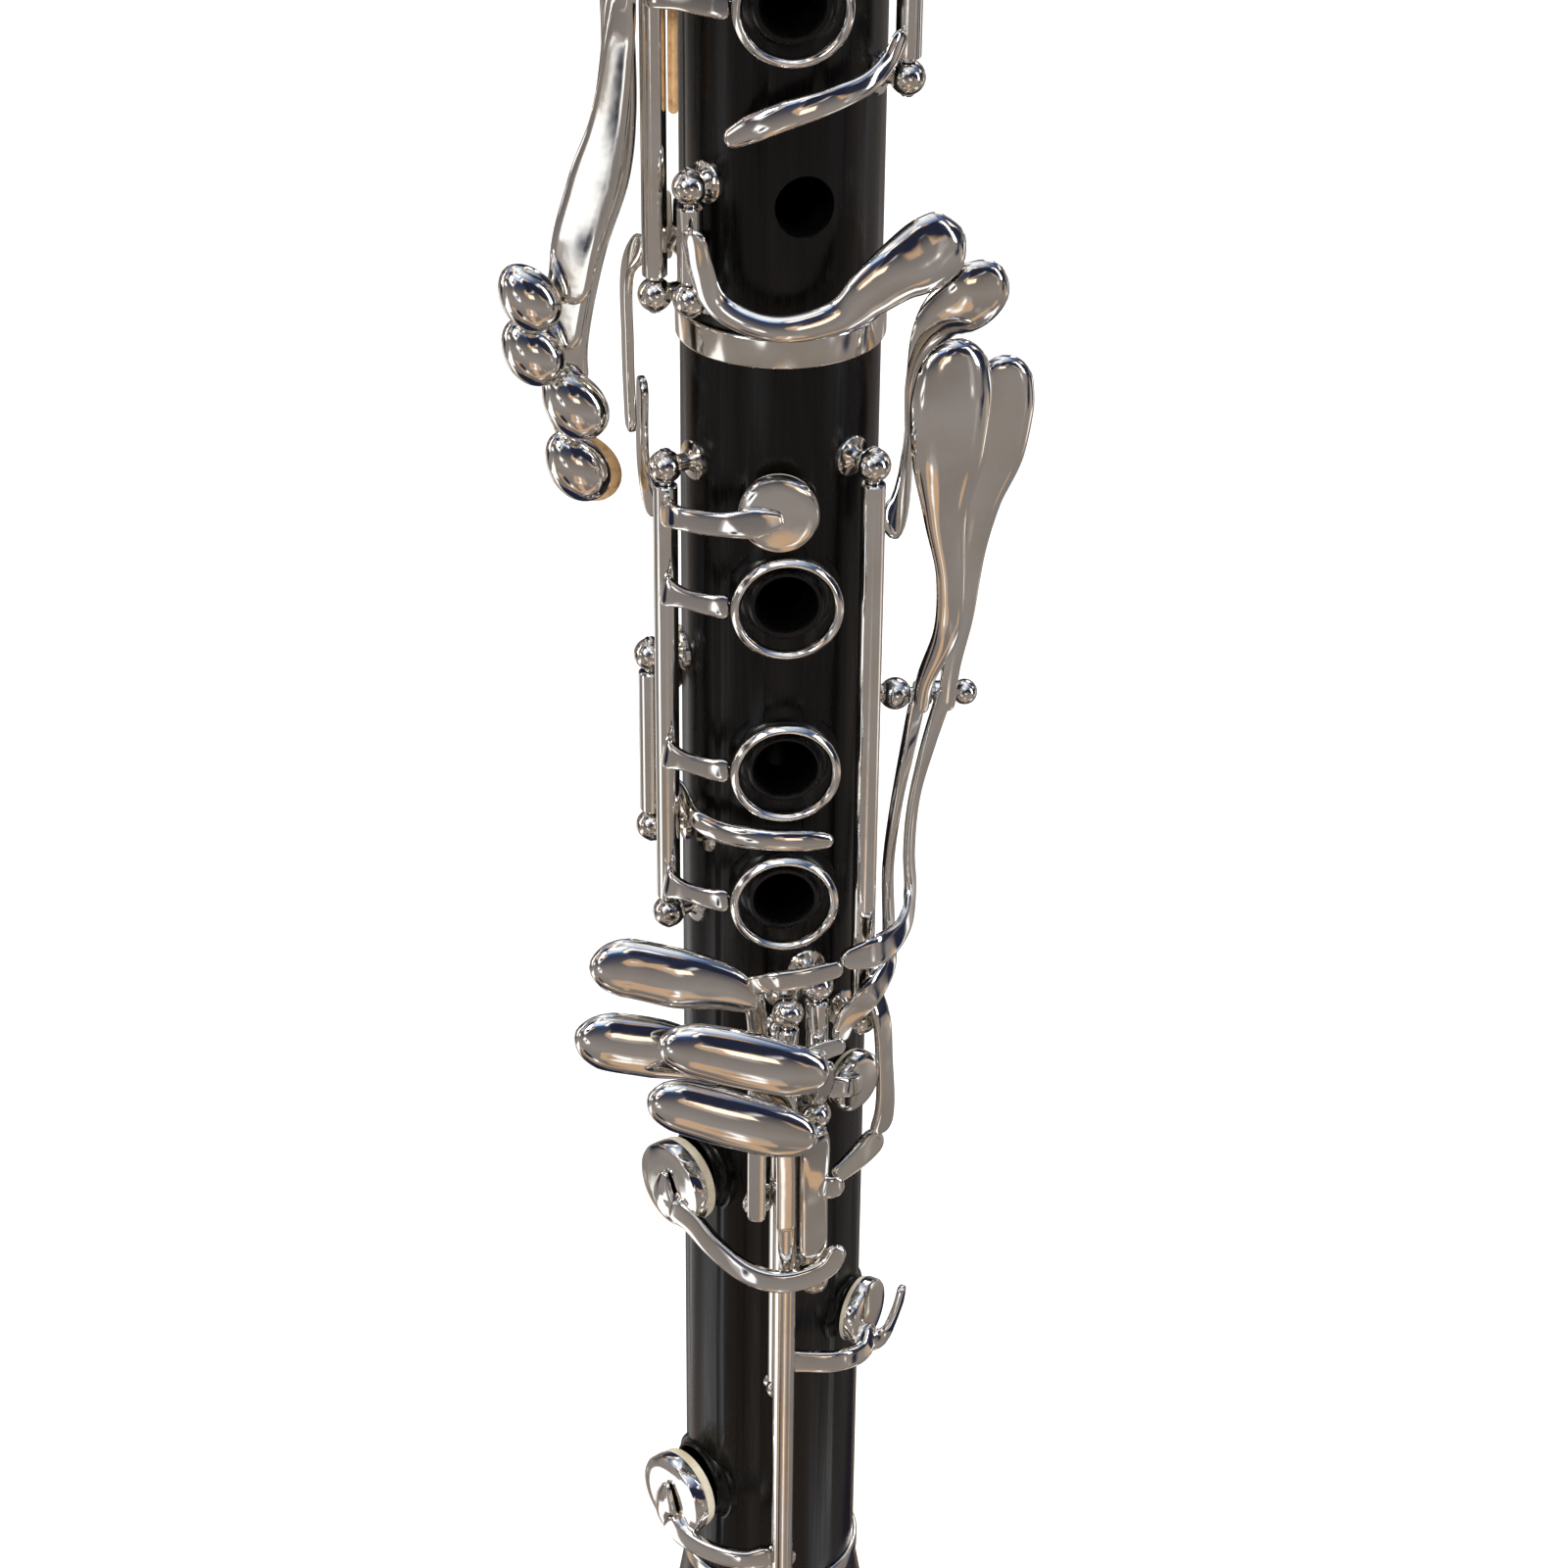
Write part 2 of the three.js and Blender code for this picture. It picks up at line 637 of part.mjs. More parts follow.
// The two long levers rock on one rod that runs out sideways (+X) from a post.
const LEFT_PIVOT = { lift: 3.3, phi: 80, z: low(266), length: 10.2 };
const LEVER_BEARING = 2.6; // length of each lever's bearing on it
const UPPER_STACK = { lift: 5, phi: -68, posts: [up(330.6), up(380), up(427)] };
const THUMB_RING = { lift: 4.6, phi: -122, posts: [up(400), up(422)] };
const C_SHARP = { lift: 3, phi: -50, posts: [up(331.3), up(347.6)] };
const UPPER_SLIVER = { lift: 4, phi: 62, posts: [up(361), up(399)] };
const THROAT_G_SHARP = { lift: 4.5, phi: 44, posts: [up(424), up(452)] };
// Hinges that lie across the body: [lift, angle, height, distance of each post from the middle].
const REGISTER = { lift: 4.6, phi: 180, z: up(462), reach: 6 };
const THROAT_A = { lift: 4.4, phi: 8, z: up(458), reach: 5.5 };
const SIDE = { lift: UPPER_STACK.lift + 2 * TUBE_R + 0.1, phi: -79, z: up(385.5), reach: 10.4 };
const SIDE_PITCH = 3.8; // from one side lever to the next along their shared rod
const SMALL_BALL_R = 1.7;

const rodOf = (line) => postedRod(line.lift, line.phi, line.posts);

function slimRod(line) {
  const [z0, z1] = line.posts;
  const rod = bar(at(line.lift, line.phi, z0), at(line.lift, line.phi, z1), SLIM_TUBE_R - TUBE_WALL - GAP);
  const posts = line.posts.map((z) => post(line.lift, line.phi, z, SMALL_BALL_R, SMALL_BALL_R));
  return join([rod, ...posts]);
}

// A point beside a crosswise hinge, as a station [lift, angle, height, facing angle].
function beside(line, out, across, z) {
  const spot = facing(line.phi).multiplyScalar(out).addScaledVector(around(line.phi), across);
  const phi = THREE.MathUtils.radToDeg(Math.atan2(spot.x, -spot.y));
  return [spot.length() - BODY_R, phi, z, line.phi];
}
const crossSpot = (line, across) => {
  const [lift, phi, z] = beside(line, BODY_R + line.lift, across, line.z);
  return at(lift, phi, z);
};

function crossRod(line) {
  const ends = [-line.reach, line.reach];
  const rod = bar(crossSpot(line, ends[0]), crossSpot(line, ends[1]), TUBE_R - TUBE_WALL - GAP);
  const posts = ends.map((across) => {
    const [lift, phi, z] = beside(line, BODY_R + line.lift, across, line.z);
    return post(lift, phi, z, 2.1);
  });
  return join([rod, ...posts]);
}

// A key on a crosswise rod, from `from` to `to` along it.
function crossHinged(line, from, to, arms) {
  const tube = bar(crossSpot(line, from), crossSpot(line, to), TUBE_R, TUBE_SIDES);
  const bore = bar(crossSpot(line, from - 1), crossSpot(line, to + 1), TUBE_R - TUBE_WALL, TUBE_SIDES);
  return join([tube, ...arms]).subtract(bore);
}

// ---- keys of the lower joint ----
const RING_LIFT = 4.2; // middle of a finger ring above the wood
const RIGHT_RINGS = [low(287.9), low(261.6), low(239.7)];
const LOWER_PAD_R = 5.6;

function lowerRingKey() {
  const line = LOWER_STACK;
  const arms = RIGHT_RINGS.map((z) =>
    strap(
      [
        [line.lift + 0.9, line.phi + 3, z],
        [5.6, -44, z],
        [5.5, -22, z],
      ],
      [4.4, 3, 3.6],
      1.3,
    ),
  );
  const rings = RIGHT_RINGS.map((z) => fingerRing(RING_LIFT, 0, z));
  const padArm = strap(
    [
      [line.lift + 0.9, line.phi + 3, low(300.8)],
      [6.2, -44, low(301.4)],
      [OPEN + 3.4, -22, low(302.5)],
      [OPEN + 3.2, -2.6, low(302.5)],
    ],
    [4.2, 3, 3.2, 3.4],
    1.4,
  );
  const tab = strap(
    [
      [line.lift + 0.4, -68, low(297.5)],
      [5.5, -80, low(303)],
      [5.6, -81, low(317)],
    ],
    [5, 4.6, 4.6],
    1.2,
  );
  const padCup = openDisc(line, RING_SWING, -2.6, low(302.5), cupProfile(SHUT, LOWER_PAD_R));
  return hinged(line.lift, line.phi, between(...line.posts), [...arms, ...rings, padArm, tab, padCup]);
}

function lowerSliverKey() {
  const line = LOWER_SLIVER;
  const touch = strap(
    [
      [line.lift - 1.2, line.phi + 4, low(254)],
      [1.7, -68, low(252.4)],
      [1.8, -58, low(251)],
      [3, -46.5, low(250.6)],
      [3.3, -28, low(250.2)],
      [3.3, -10, low(250.2)],
      [3.4, 10, low(249.8)],
      [3.6, 24, low(249)],
    ],
    [3.6, 3, 2.8, 2.8, 3, 3.2, 3, 1.6],
    1.3,
  );
  const padArm = strap(
    [
      [line.lift, line.phi - 4, low(267)],
      [5.4, -96, low(267.6)],
      [4.3, -111, low(268)],
    ],
    [4, 3, 3.4],
    1.4,
  );
  const padCup = disc(-112, low(268), paddedProfile(SHUT, 5));
  return hinged(line.lift, line.phi, between(...line.posts), [touch, padArm, padCup]);
}

const LITTLE_PAD_R = 7; // the two big pads for the right little finger

function rightEBKey() {
  const line = E_B;
  const lift = line.lift + TUBE_R; // top of the tube
  const spine = strap(
    [
      [lift + 0.4, 1, low(183)],
      [lift + 0.6, 0.5, low(198)],
      [lift + 1.5, -1, low(208)],
      [lift + 1.9, -9, low(212)],
      [lift + 1.8, -20, low(213.6)],
    ],
    [2.8, 2.8, 3, 4, 5.4],
    1.4,
  );
  const touch = strap(
    [
      [lift + 1.8, -19, low(214.3), -12],
      [11, -32, low(216.6), -12],
      [15.2, -43.5, low(218.2), -14],
      [19.6, -51, low(219.2), -16],
      [23.8, -56, low(220.6), -18],
    ],
    [4.4, 6.6, 8, 7.4, 3.4],
    2,
    6,
  );
  const padArm = strap(
    [
      [line.lift, -3, low(116)],
      [7, -16, low(115.6)],
      [7.2, -34, low(115.8)],
      [OPEN + 4.2, -48, low(117)],
      [OPEN + 4, -57, low(119.6)],
    ],
    [4, 3.2, 3.2, 3.6, 4],
    1.8,
  );
  const padCup = openDisc(line, LITTLE_SWING, ...E_B_CUP, cupProfile(SHUT, LITTLE_PAD_R));
  const leverTab = strap(
    [
      [lift + 1.8, -7, low(211.6)],
      [lift + 1.2, 2, low(214)],
      [lift + 0.5, 13, low(215.6)],
      [lift + 0.8, 24, low(216.4)],
    ],
    [3.4, 3.2, 3, 2.6],
    1.1,
  );
  const arms = [spine, touch, padArm, padCup, leverTab];
  return hinged(line.lift, line.phi, between(...line.posts), arms);
}

function rightFSharpKey() {
  const line = F_SHARP;
  const bend = -11; // the spine stands beside the tube above it
  const foot = strap(
    [
      [line.lift, -4, low(186)],
      [3.2, -10.6, low(186)],
      [6.9, bend, low(186)],
    ],
    [5, 4.6, 4.6],
    1.5,
  );
  const spine = strap(
    [
      [6.8, bend, low(184)],
      [6.8, bend, low(205)],
      [6.8, -11.5, low(222)],
      [7.9, -14, low(227)],
    ],
    [2.8, 2.8, 3, 4],
    1.4,
  );
  const touch = strap(
    [
      [7.7, -13, low(226.4), -12],
      [9.4, -25, low(228.5), -12],
      [12.8, -38.5, low(230.6), -14],
      [17, -48, low(232), -16],
      [21.6, -53.8, low(232.8), -18],
    ],
    [4, 7.6, 8.4, 7.4, 3.4],
    2,
    6,
  );
  const padArm = strap(
    [
      [line.lift + 0.3, 2, low(153.5)],
      [3, 12, low(153.4)],
      [5, 30, low(153)],
      [5.2, 46, low(152.6)],
      [SHUT + 3.3, 57, low(155)],
    ],
    [4.6, 3.6, 3.4, 3.2, 4],
    1.5,
  );
  const tip = strap(
    [
      [5, 50, low(152.6)],
      [6, 60, low(153)],
      [7.6, 64, low(158)],
      [8.2, 65, low(162)],
    ],
    [3, 3.4, 3, 1.6],
    1.2,
  );
  const padCup = disc(57, low(157), cupProfile(SHUT, 5.6));
  const leverTab = strap(
    [
      [7.9, -14, low(227.6)],
      [9.9, -6, low(229.8)],
      [10.4, 6, low(230.8)],
      [10.2, 20, low(231.4)],
    ],
    [3.4, 3, 3, 2.4],
    1.2,
  );
  const z0 = line.posts[0] + SMALL_BALL_R + GAP;
  const z1 = line.posts[1] - SMALL_BALL_R - GAP;
  const arms = [foot, spine, touch, padArm, tip, padCup, leverTab];
  return hinged(line.lift, line.phi, [z0, z1], arms, SLIM_TUBE_R);
}

function rightFCKey() {
  const line = F_C;
  const spine = strap(
    [
      [line.lift + TUBE_R + 0.4, 13, low(177)],
      [line.lift + TUBE_R + 0.4, 12.6, low(190)],
      [9.5, 11, low(200)],
      [11.9, 8, low(204)],
    ],
    [4, 4, 4.4, 5],
    1.5,
  );
  const touch = strap(
    [
      [11.9, 9, low(203.2), 0],
      [12, -4, low(205.4), -4],
      [12.7, -18, low(207.4), -6],
      [14.8, -31, low(209.6), -8],
      [17.6, -39.5, low(211.4), -10],
    ],
    [5.4, 6.8, 6.8, 6.8, 3],
    1.8,
    6,
  );
  const padArm = strap(
    [
      [line.lift + TUBE_R, 17, low(176)],
      [9.3, 8, low(175)],
      [9.6, -2, low(174.8)],
      [9.2, -14, low(175.6)],
      [7.9, -30, low(177.4)],
      [OPEN + 4.6, -44, low(179.4)],
      [OPEN + 4.2, -56, low(182.6)],
    ],
    [3.6, 3.2, 3.2, 3.2, 3.2, 3.6, 4],
    1.8,
  );
  const padCup = openDisc(line, LITTLE_SWING, ...F_C_CUP, cupProfile(SHUT, LITTLE_PAD_R));
  const leverTab = strap(
    [
      [line.lift + TUBE_R + 0.6, 14, low(191)],
      [8.9, 18, low(191)],
      [8.9, 24, low(191)],
    ],
    [4, 3.6, 2.8],
    1.1,
  );
  const reach = between(line.posts[0], line.posts[1]);
  return hinged(line.lift, line.phi, reach, [spine, touch, padArm, padCup, leverTab]);
}

function rightAFlatKey() {
  const line = F_C;
  const spine = strap(
    [
      [line.lift + TUBE_R + 0.3, 14, low(207)],
      [9.4, 14, low(211)],
      [11.9, 12, low(216)],
    ],
    [3.4, 3.4, 4],
    1.5,
  );
  const touch = strap(
    [
      [11.9, 13, low(216), 4],
      [11.7, 1, low(218), 0],
      [11.9, -14, low(220), -4],
      [13.4, -27, low(221.8), -8],
      [16, -37, low(222.6), -10],
    ],
    [5, 7.2, 7.8, 7.2, 3],
    1.8,
    6,
  );
  const padArm = strap(
    [
      [line.lift - 0.4, 19, low(207)],
      [5.4, 30, low(206)],
      [SHUT + 3.4, 42, low(204.6)],
    ],
    [3.6, 3.2, 3.4],
    1.3,
  );
  const padCup = disc(43, low(204), cupProfile(SHUT, 4.9));
  const reach = between(line.posts[1], line.posts[2]);
  return hinged(line.lift, line.phi, reach, [spine, touch, padArm, padCup]);
}

// ---- levers for the left little finger, on the lower joint ----
function leftFCLever() {
  const line = LEFT_F_C;
  const touch = strap(
    [
      [line.lift + 1, 46, low(297), 50],
      [5, 58, low(300), 62],
      [4.6, 70, low(308), 72],
      [5, 75, low(317), 62],
      [8, 75.5, key(325), 36],
      [12.6, 77, key(329.4), 22],
      [15.8, 79, key(333.8), 18],
    ],
    [9, 6.4, 5, 6, 7.6, 9, 4.6],
    1.6,
    6,
  );
  const drop = strap(
    [
      [line.lift + 1.5, 41, low(223)],
      [8, 42, low(218.6)],
      [8.3, 44, low(210)],
      [8, 46, low(201)],
      [7.4, 45, low(196)],
    ],
    [3.4, 3.2, 3.2, 4, 5],
    1.3,
  );
  const hand = strap(
    [
      [7.4, 46, low(196)],
      [7, 34, low(193.4)],
      [6.9, 22, low(191)],
    ],
    [5, 4, 2.6],
    1.3,
  );
  return hinged(line.lift, line.phi, between(...line.posts), [touch, drop, hand]);
}

// A station on a body of the drawn radius, from its X and Y.
const DRAWN_R = 14;
const spot = (x, y, z, face) => {
  const phi = THREE.MathUtils.radToDeg(Math.atan2(x, -y));
  return [Math.hypot(x, y) - DRAWN_R, phi, z, face ?? phi];
};
const pivotSpot = (out) =>
  at(LEFT_PIVOT.lift, LEFT_PIVOT.phi, LEFT_PIVOT.z).add(new THREE.Vector3(out, 0, 0));

function leftPivotRod() {
  const rod = bar(pivotSpot(0), pivotSpot(LEFT_PIVOT.length), TUBE_R - TUBE_WALL - GAP);
  const foot = post(LEFT_PIVOT.lift, LEFT_PIVOT.phi, LEFT_PIVOT.z);
  return join([rod, foot, ball(pivotSpot(LEFT_PIVOT.length), 1.9)]);
}

// A long lever: a bearing on the pivot rod, starting at `out`, with a touch above and a hand below.
function longLever(out, arms) {
  const tube = bar(pivotSpot(out), pivotSpot(out + LEVER_BEARING), TUBE_R, TUBE_SIDES);
  const bore = bar(pivotSpot(out - 1), pivotSpot(out + LEVER_BEARING + 1), TUBE_R - TUBE_WALL, TUBE_SIDES);
  return join([tube, ...arms]).subtract(bore);
}

function leftEBLever() {
  const out = BALL_R + GAP;
  const touch = strap(
    [
      spot(20.5, -5, low(264), 0),
      spot(21.1, -6, low(270), 0),
      spot(23.6, -8, low(279), 8),
      spot(23.8, -8.6, low(288), 12),
      spot(22.8, -8.6, low(298), 15),
      spot(23, -8.4, low(307), 15),
      spot(23.2, -8.2, low(315), 15),
      spot(23.4, -8, low(324.4), 15),
    ],
    [2.4, 2.6, 4, 4.4, 6.6, 11.6, 11.6, 4.4],
    1.7,
    6,
  );
  const hand = strap(
    [
      spot(20.5, -5, low(268), 0),
      spot(18.6, -7.4, low(259), 40),
      spot(17, -8.6, low(250), 56),
      spot(16.2, -9.4, low(240), 60),
      spot(16.4, -11.6, low(232)),
      spot(15, -15.8, low(228)),
      spot(12, -18.6, low(224)),
      spot(9, -18.8, low(219)),
      spot(8.3, -18.6, low(215.6)),
    ],
    [2.4, 2.4, 2.2, 2.2, 2.6, 2.8, 3, 2.8, 2.4],
    1.3,
  );
  return longLever(out, [touch, hand]);
}

function leftFSharpLever() {
  const out = BALL_R + GAP + LEVER_BEARING + GAP;
  const touch = strap(
    [
      spot(24.4, -5, low(264), 0),
      spot(24.8, -5.2, low(271), 0),
      spot(26, -5, low(280), 4),
      spot(27, -4.6, low(288), 8),
      spot(28.2, -4.4, low(297), 10),
      spot(29.6, -4.2, low(305), 10),
      spot(30.2, -4, low(311), 10),
      spot(31.4, -4, low(319.4), 10),
    ],
    [2.4, 2.6, 4, 4.2, 6, 9.6, 9.8, 4],
    1.7,
    6,
  );
  const hand = strap(
    [
      spot(24.4, -5, low(268), 0),
      spot(21.8, -6, low(259), 40),
      spot(19.8, -7, low(250), 60),
      spot(18.8, -8.4, low(242), 60),
      spot(18.4, -11, low(237.4)),
      spot(14.4, -18, low(233.8)),
      spot(8.2, -21, low(231.4)),
    ],
    [2.4, 2.4, 2.2, 2.2, 2.6, 3, 2.4],
    1.3,
  );
  return longLever(out, [touch, hand]);
}

// ---- keys of the upper joint ----
function firstRingKey() {
  const line = UPPER_STACK;
  const ringArm = strap(
    [
      [line.lift + 0.9, line.phi + 3, up(394)],
      [5.6, -46, up(394)],
      [5.5, -22, up(394)],
    ],
    [4.4, 3, 3.6],
    1.3,
  );
  const padArm = strap(
    [
      [line.lift + 0.9, line.phi + 3, up(415)],
      [6, -46, up(416)],
      [OPEN + 3.2, -22, up(417)],
      [OPEN + 3.1, -2, up(417)],
    ],
    [4.2, 3, 3, 3.2],
    1.3,
  );
  const ring = fingerRing(RING_LIFT, 0, up(394));
  const padCup = openDisc(line, RING_SWING, -2, up(417), paddedProfile(SHUT, 4.9));
  const reach = between(line.posts[1], line.posts[2]);
  return hinged(line.lift, line.phi, reach, [ringArm, padArm, ring, padCup]);
}

function secondRingKey() {
  const line = UPPER_STACK;
  const ringArm = strap(
    [
      [line.lift + 0.9, line.phi + 3, up(373.7)],
      [5.6, -46, up(373.7)],
      [5.5, -22, up(373.7)],
    ],
    [4.4, 3, 3.6],
    1.3,
  );
  const ring = fingerRing(RING_LIFT, 0, up(373.7));
  const bridge = strap(
    [
      [line.lift + 0.8, -72, up(338)],
      [7.4, -79, up(334)],
      [7.6, -80.5, key(322)],
      [7.3, -80.5, low(309)],
    ],
    [5, 4.6, 4.6, 4.2],
    1.2,
  );
  return hinged(line.lift, line.phi, between(line.posts[0], line.posts[1]), [ringArm, ring, bridge]);
}

function thumbRingKey() {
  const line = THUMB_RING;
  const arm = strap(
    [
      [line.lift + 0.9, line.phi - 3, up(411)],
      [5.5, -140, up(411)],
      [5.5, -158, up(411)],
    ],
    [4.4, 3, 3.6],
    1.3,
  );
  const ring = fingerRing(RING_LIFT, 180, up(411));
  return hinged(line.lift, line.phi, between(...line.posts), [arm, ring]);
}

function cSharpKey() {
  const line = C_SHARP;
  const arm = strap(
    [
      [line.lift + 0.4, line.phi + 3, up(338.4)],
      [3.5, -36, up(334)],
      [3.2, -18, up(330.4)],
      [3.3, -2, up(329.6)],
      [3.8, 22, up(331)],
      [4.6, 34, up(333.6)],
    ],
    [4.6, 3.4, 3.2, 3.4, 4.4, 5.6],
    1.4,
  );
  const touch = strap(
    [
      [4.4, 32, up(333.2), 34],
      [6.2, 47, up(336.4), 42],
      [8.2, 57, up(338.2), 44],
      [10.6, 63, up(339.8), 44],
      [12.8, 66.5, up(341), 42],
    ],
    [5, 9, 10.4, 9.4, 4],
    1.7,
    6,
  );
  const padArm = strap(
    [
      [line.lift - 0.7, -52, up(338)],
      [1.75, -62, up(338)],
      [1.8, -74, up(338)],
      [SHUT + 1.4, -84, up(338)],
    ],
    [4, 3.4, 3.4, 4],
    1.3,
  );
  const padCup = disc(-90, up(338), paddedProfile(SHUT, 4.8));
  return hinged(line.lift, line.phi, between(...line.posts), [arm, touch, padArm, padCup]);
}

function upperSliverKey() {
  const line = UPPER_SLIVER;
  const touch = strap(
    [
      [3, -30, up(355)],
      [3.2, -15, up(357.6)],
      [3.2, 0, up(359.5)],
      [3.2, 18, up(361)],
      [3.3, 36, up(362.4)],
      [3.4, 48, up(364.4)],
      [line.lift, 57, up(368)],
    ],
    [1.6, 3, 3.2, 3, 2.8, 2.8, 4],
    1.3,
  );
  const padArm = strap(
    [
      [line.lift, 66, up(388)],
      [5, 80, up(388)],
      [4.3, 96, up(388)],
    ],
    [4, 3, 3.4],
    1.3,
  );
  const padCup = disc(97, up(388), paddedProfile(SHUT, 4.7));
  return hinged(line.lift, line.phi, between(...line.posts), [touch, padArm, padCup]);
}

function throatGSharpKey() {
  const line = THROAT_G_SHARP;
  const touch = strap(
    [
      [line.lift + 0.8, line.phi - 4, up(430)],
      [6.4, 30, up(428)],
      [6.8, 18, up(427.4)],
      [6.8, 8, up(428)],
    ],
    [4.6, 5, 6.4, 3.4],
    1.6,
    6,
  );
  const padArm = strap(
    [
      [line.lift + 0.6, line.phi + 4, up(445)],
      [5.2, 60, up(446)],
      [4.3, 74, up(446)],
    ],
    [4, 3, 3.4],
    1.3,
  );
  const padCup = disc(75, up(446), paddedProfile(SHUT, 4.5));
  return hinged(line.lift, line.phi, between(...line.posts), [touch, padArm, padCup]);
}

function throatAKey() {
  const line = THROAT_A;
  const lever = strap(
    [
      [7, 8, up(436)],
      [7, 8, up(443)],
      [line.lift + 1.6, 8, up(452)],
      [line.lift + 1.7, 8, up(460)],
      [4.4, 8, up(474)],
    ],
    [4, 7, 4, 4, 3.6],
    1.5,
    6,
  );
  const padCup = disc(8, up(474), paddedProfile(SHUT, 4.5));
  const half = line.reach - 2.1 - GAP;
  return crossHinged(line, -half, half, [lever, padCup]);
}

function registerKey() {
  const line = REGISTER;
  const lever = strap(
    [
      [5.4, 176, up(424.5)],
      [5.6, 178, up(432)],
      [line.lift + 1.4, 180, up(446)],
      [line.lift + 1.7, 180, up(462)],
      [line.lift + 1.6, 180, up(485)],
      [REGISTER_SEAT + 3.2, 180, up(506)],
    ],
    [4.6, 8, 4.4, 4.2, 3.6, 4],
    1.6,
    6,
  );
  const padCup = disc(180, up(508), cupProfile(REGISTER_SEAT + GAP, 3.9));
  const half = line.reach - 2.1 - GAP;
  return crossHinged(line, -half, half, [lever, padCup]);
}

// Each side key: its place along the shared rod; its lever as [distance out, height, width] from the rod
// down; and its egg-shaped touch as [distance out, height, half its width, half its height].
const SIDE_KEYS = [
  {
    slot: 1.5,
    lever: [
      [24.6, up(366), 4],
      [26.9, up(356), 5],
      [29.2, up(348), 6.4],
      [30.8, up(340), 6.2],
      [31.4, up(331), 4],
    ],
    touch: [36.2, up(332.5), 4, 4.9],
  },
  {
    slot: 0.5,
    lever: [
      [23.8, up(366), 4],
      [25, up(356), 5],
      [27.2, up(347), 6],
      [29, up(339), 6],
      [30.6, up(330), 5.6],
      [31.6, up(321.6), 4],
    ],
    touch: [35.2, up(321.2), 4, 4.9],
  },
  {
    slot: -0.5,
    lever: [
      [23.2, up(366), 4],
      [24.4, up(354), 4.4],
      [27, up(342), 4.8],
      [29, up(330), 5],
      [29.6, up(319), 4.4],
      [28.6, up(312), 4],
    ],
    touch: [27.8, up(309.7), 4.4, 5.4],
  },
  {
    slot: -1.5,
    lever: [
      [23.2, up(366), 4],
      [24.6, up(350), 4.2],
      [27.5, up(334), 4.4],
      [30, up(320), 4.4],
      [30, up(308), 4],
      [27.5, up(300), 4],
    ],
    touch: [26.6, up(298.4), 4.4, 5.4],
  },
];
const SIDE_FACE = -15; // the way the lower part of a side lever faces
const EGG_TURN = THREE.MathUtils.degToRad(25);
const TOUCH_DEPTH = 3; // half of a side touch, front to back
const TOUCH_FORWARD = 1.4; // how far its middle lies in front of its lever

function sideKey({ slot, lever, touch }, [padPhi, padZ]) {
  const line = SIDE;
  const across = slot * SIDE_PITCH;
  const level = BODY_R + line.lift;
  const stations = lever.map(([out, z]) => {
    const [lift, phi] = beside(line, out, across, z);
    return [lift, phi, z, SIDE_FACE];
  });
  const widths = lever.map(([, , width]) => width);
  const arm = strap([beside(line, level, across, up(376)), ...stations], [3.2, ...widths], 1.5);
  const upper = strap(
    [
      beside(line, level, across, up(374)),
      beside(line, level, across, line.z),
      beside(line, level, across, Math.min(line.z + 40, padZ - 20)),
      [SHUT + 3, padPhi, padZ, padPhi],
    ],
    [3.2, 3.2, 3, 3.2],
    1.4,
  );
  const [out, z, halfWidth, halfHeight] = touch;
  const [lift, phi] = beside(line, out, across, z);
  const center = at(lift, phi, z);
  const egg = new THREE.SphereGeometry(1, 12, 8).rotateX(Math.PI / 2);
  egg.scale(halfWidth, TOUCH_DEPTH, halfHeight).rotateY(EGG_TURN);
  egg.translate(center.x, center.y - TOUCH_FORWARD, center.z);
  const padCup = disc(padPhi, padZ, paddedProfile(SHUT, 4.4));
  const half = SIDE_PITCH / 2 - GAP;
  return crossHinged(line, across - half, across + half, [solid(egg), arm, upper, padCup]);
}

// ---- assembly ----
const clarinet = new THREE.Group();
function add(name, body, material) {
  const mesh = new THREE.Mesh(geometryOf(body), material);
  mesh.name = name;
  clarinet.add(mesh);
}

add("bell", bell(), WOOD);
add("bell_rim_ring", bellRimRing(), SILVER);
add("bell_socket_ring", bellSocketRing(), SILVER);
add("lower_joint", lowerJoint, WOOD);
add("lower_socket_ring", metalRing(UPPER_BASE - RING_HEIGHT), SILVER);
add("lower_tenon_cork", tenonCork(LOWER_BASE - TENON_LENGTH, LOWER_BASE), CORK);
add("upper_joint", upperJoint, WOOD);
add("middle_tenon_cork", tenonCork(UPPER_BASE - TENON_LENGTH, UPPER_BASE), CORK);
add("upper_tenon_cork", tenonCork(BARREL_BASE, BARREL_BASE + TENON_LENGTH), CORK);
add("barrel", barrel(), WOOD);
add("barrel_bottom_ring", metalRing(BARREL_BASE + GAP), SILVER);
add("barrel_top_ring", metalRing(MOUTHPIECE_BASE - GAP - RING_HEIGHT), SILVER);
add("mouthpiece", mouthpiece(), EBONITE);
add("mouthpiece_cork", tenonCork(MOUTHPIECE_BASE - TENON_LENGTH, MOUTHPIECE_BASE), CORK);
add("reed", reed(), CANE);
add("ligature", ligature(), SILVER);
add("thumb_rest", thumbRest(), SILVER);

const RODS = {
  lower_stack_rod: rodOf(LOWER_STACK),
  lower_sliver_rod: rodOf(LOWER_SLIVER),
  right_e_b_rod: rodOf(E_B),
  right_f_sharp_rod: slimRod(F_SHARP),
  right_f_c_rod: rodOf(F_C),
  left_f_c_rod: rodOf(LEFT_F_C),
  left_pivot_rod: leftPivotRod(),
  upper_stack_rod: rodOf(UPPER_STACK),
  thumb_ring_rod: rodOf(THUMB_RING),
  c_sharp_rod: rodOf(C_SHARP),
  upper_sliver_rod: rodOf(UPPER_SLIVER),
  throat_g_sharp_rod: rodOf(THROAT_G_SHARP),
  throat_a_rod: crossRod(THROAT_A),
  register_rod: crossRod(REGISTER),
  side_key_rod: crossRod(SIDE),
};
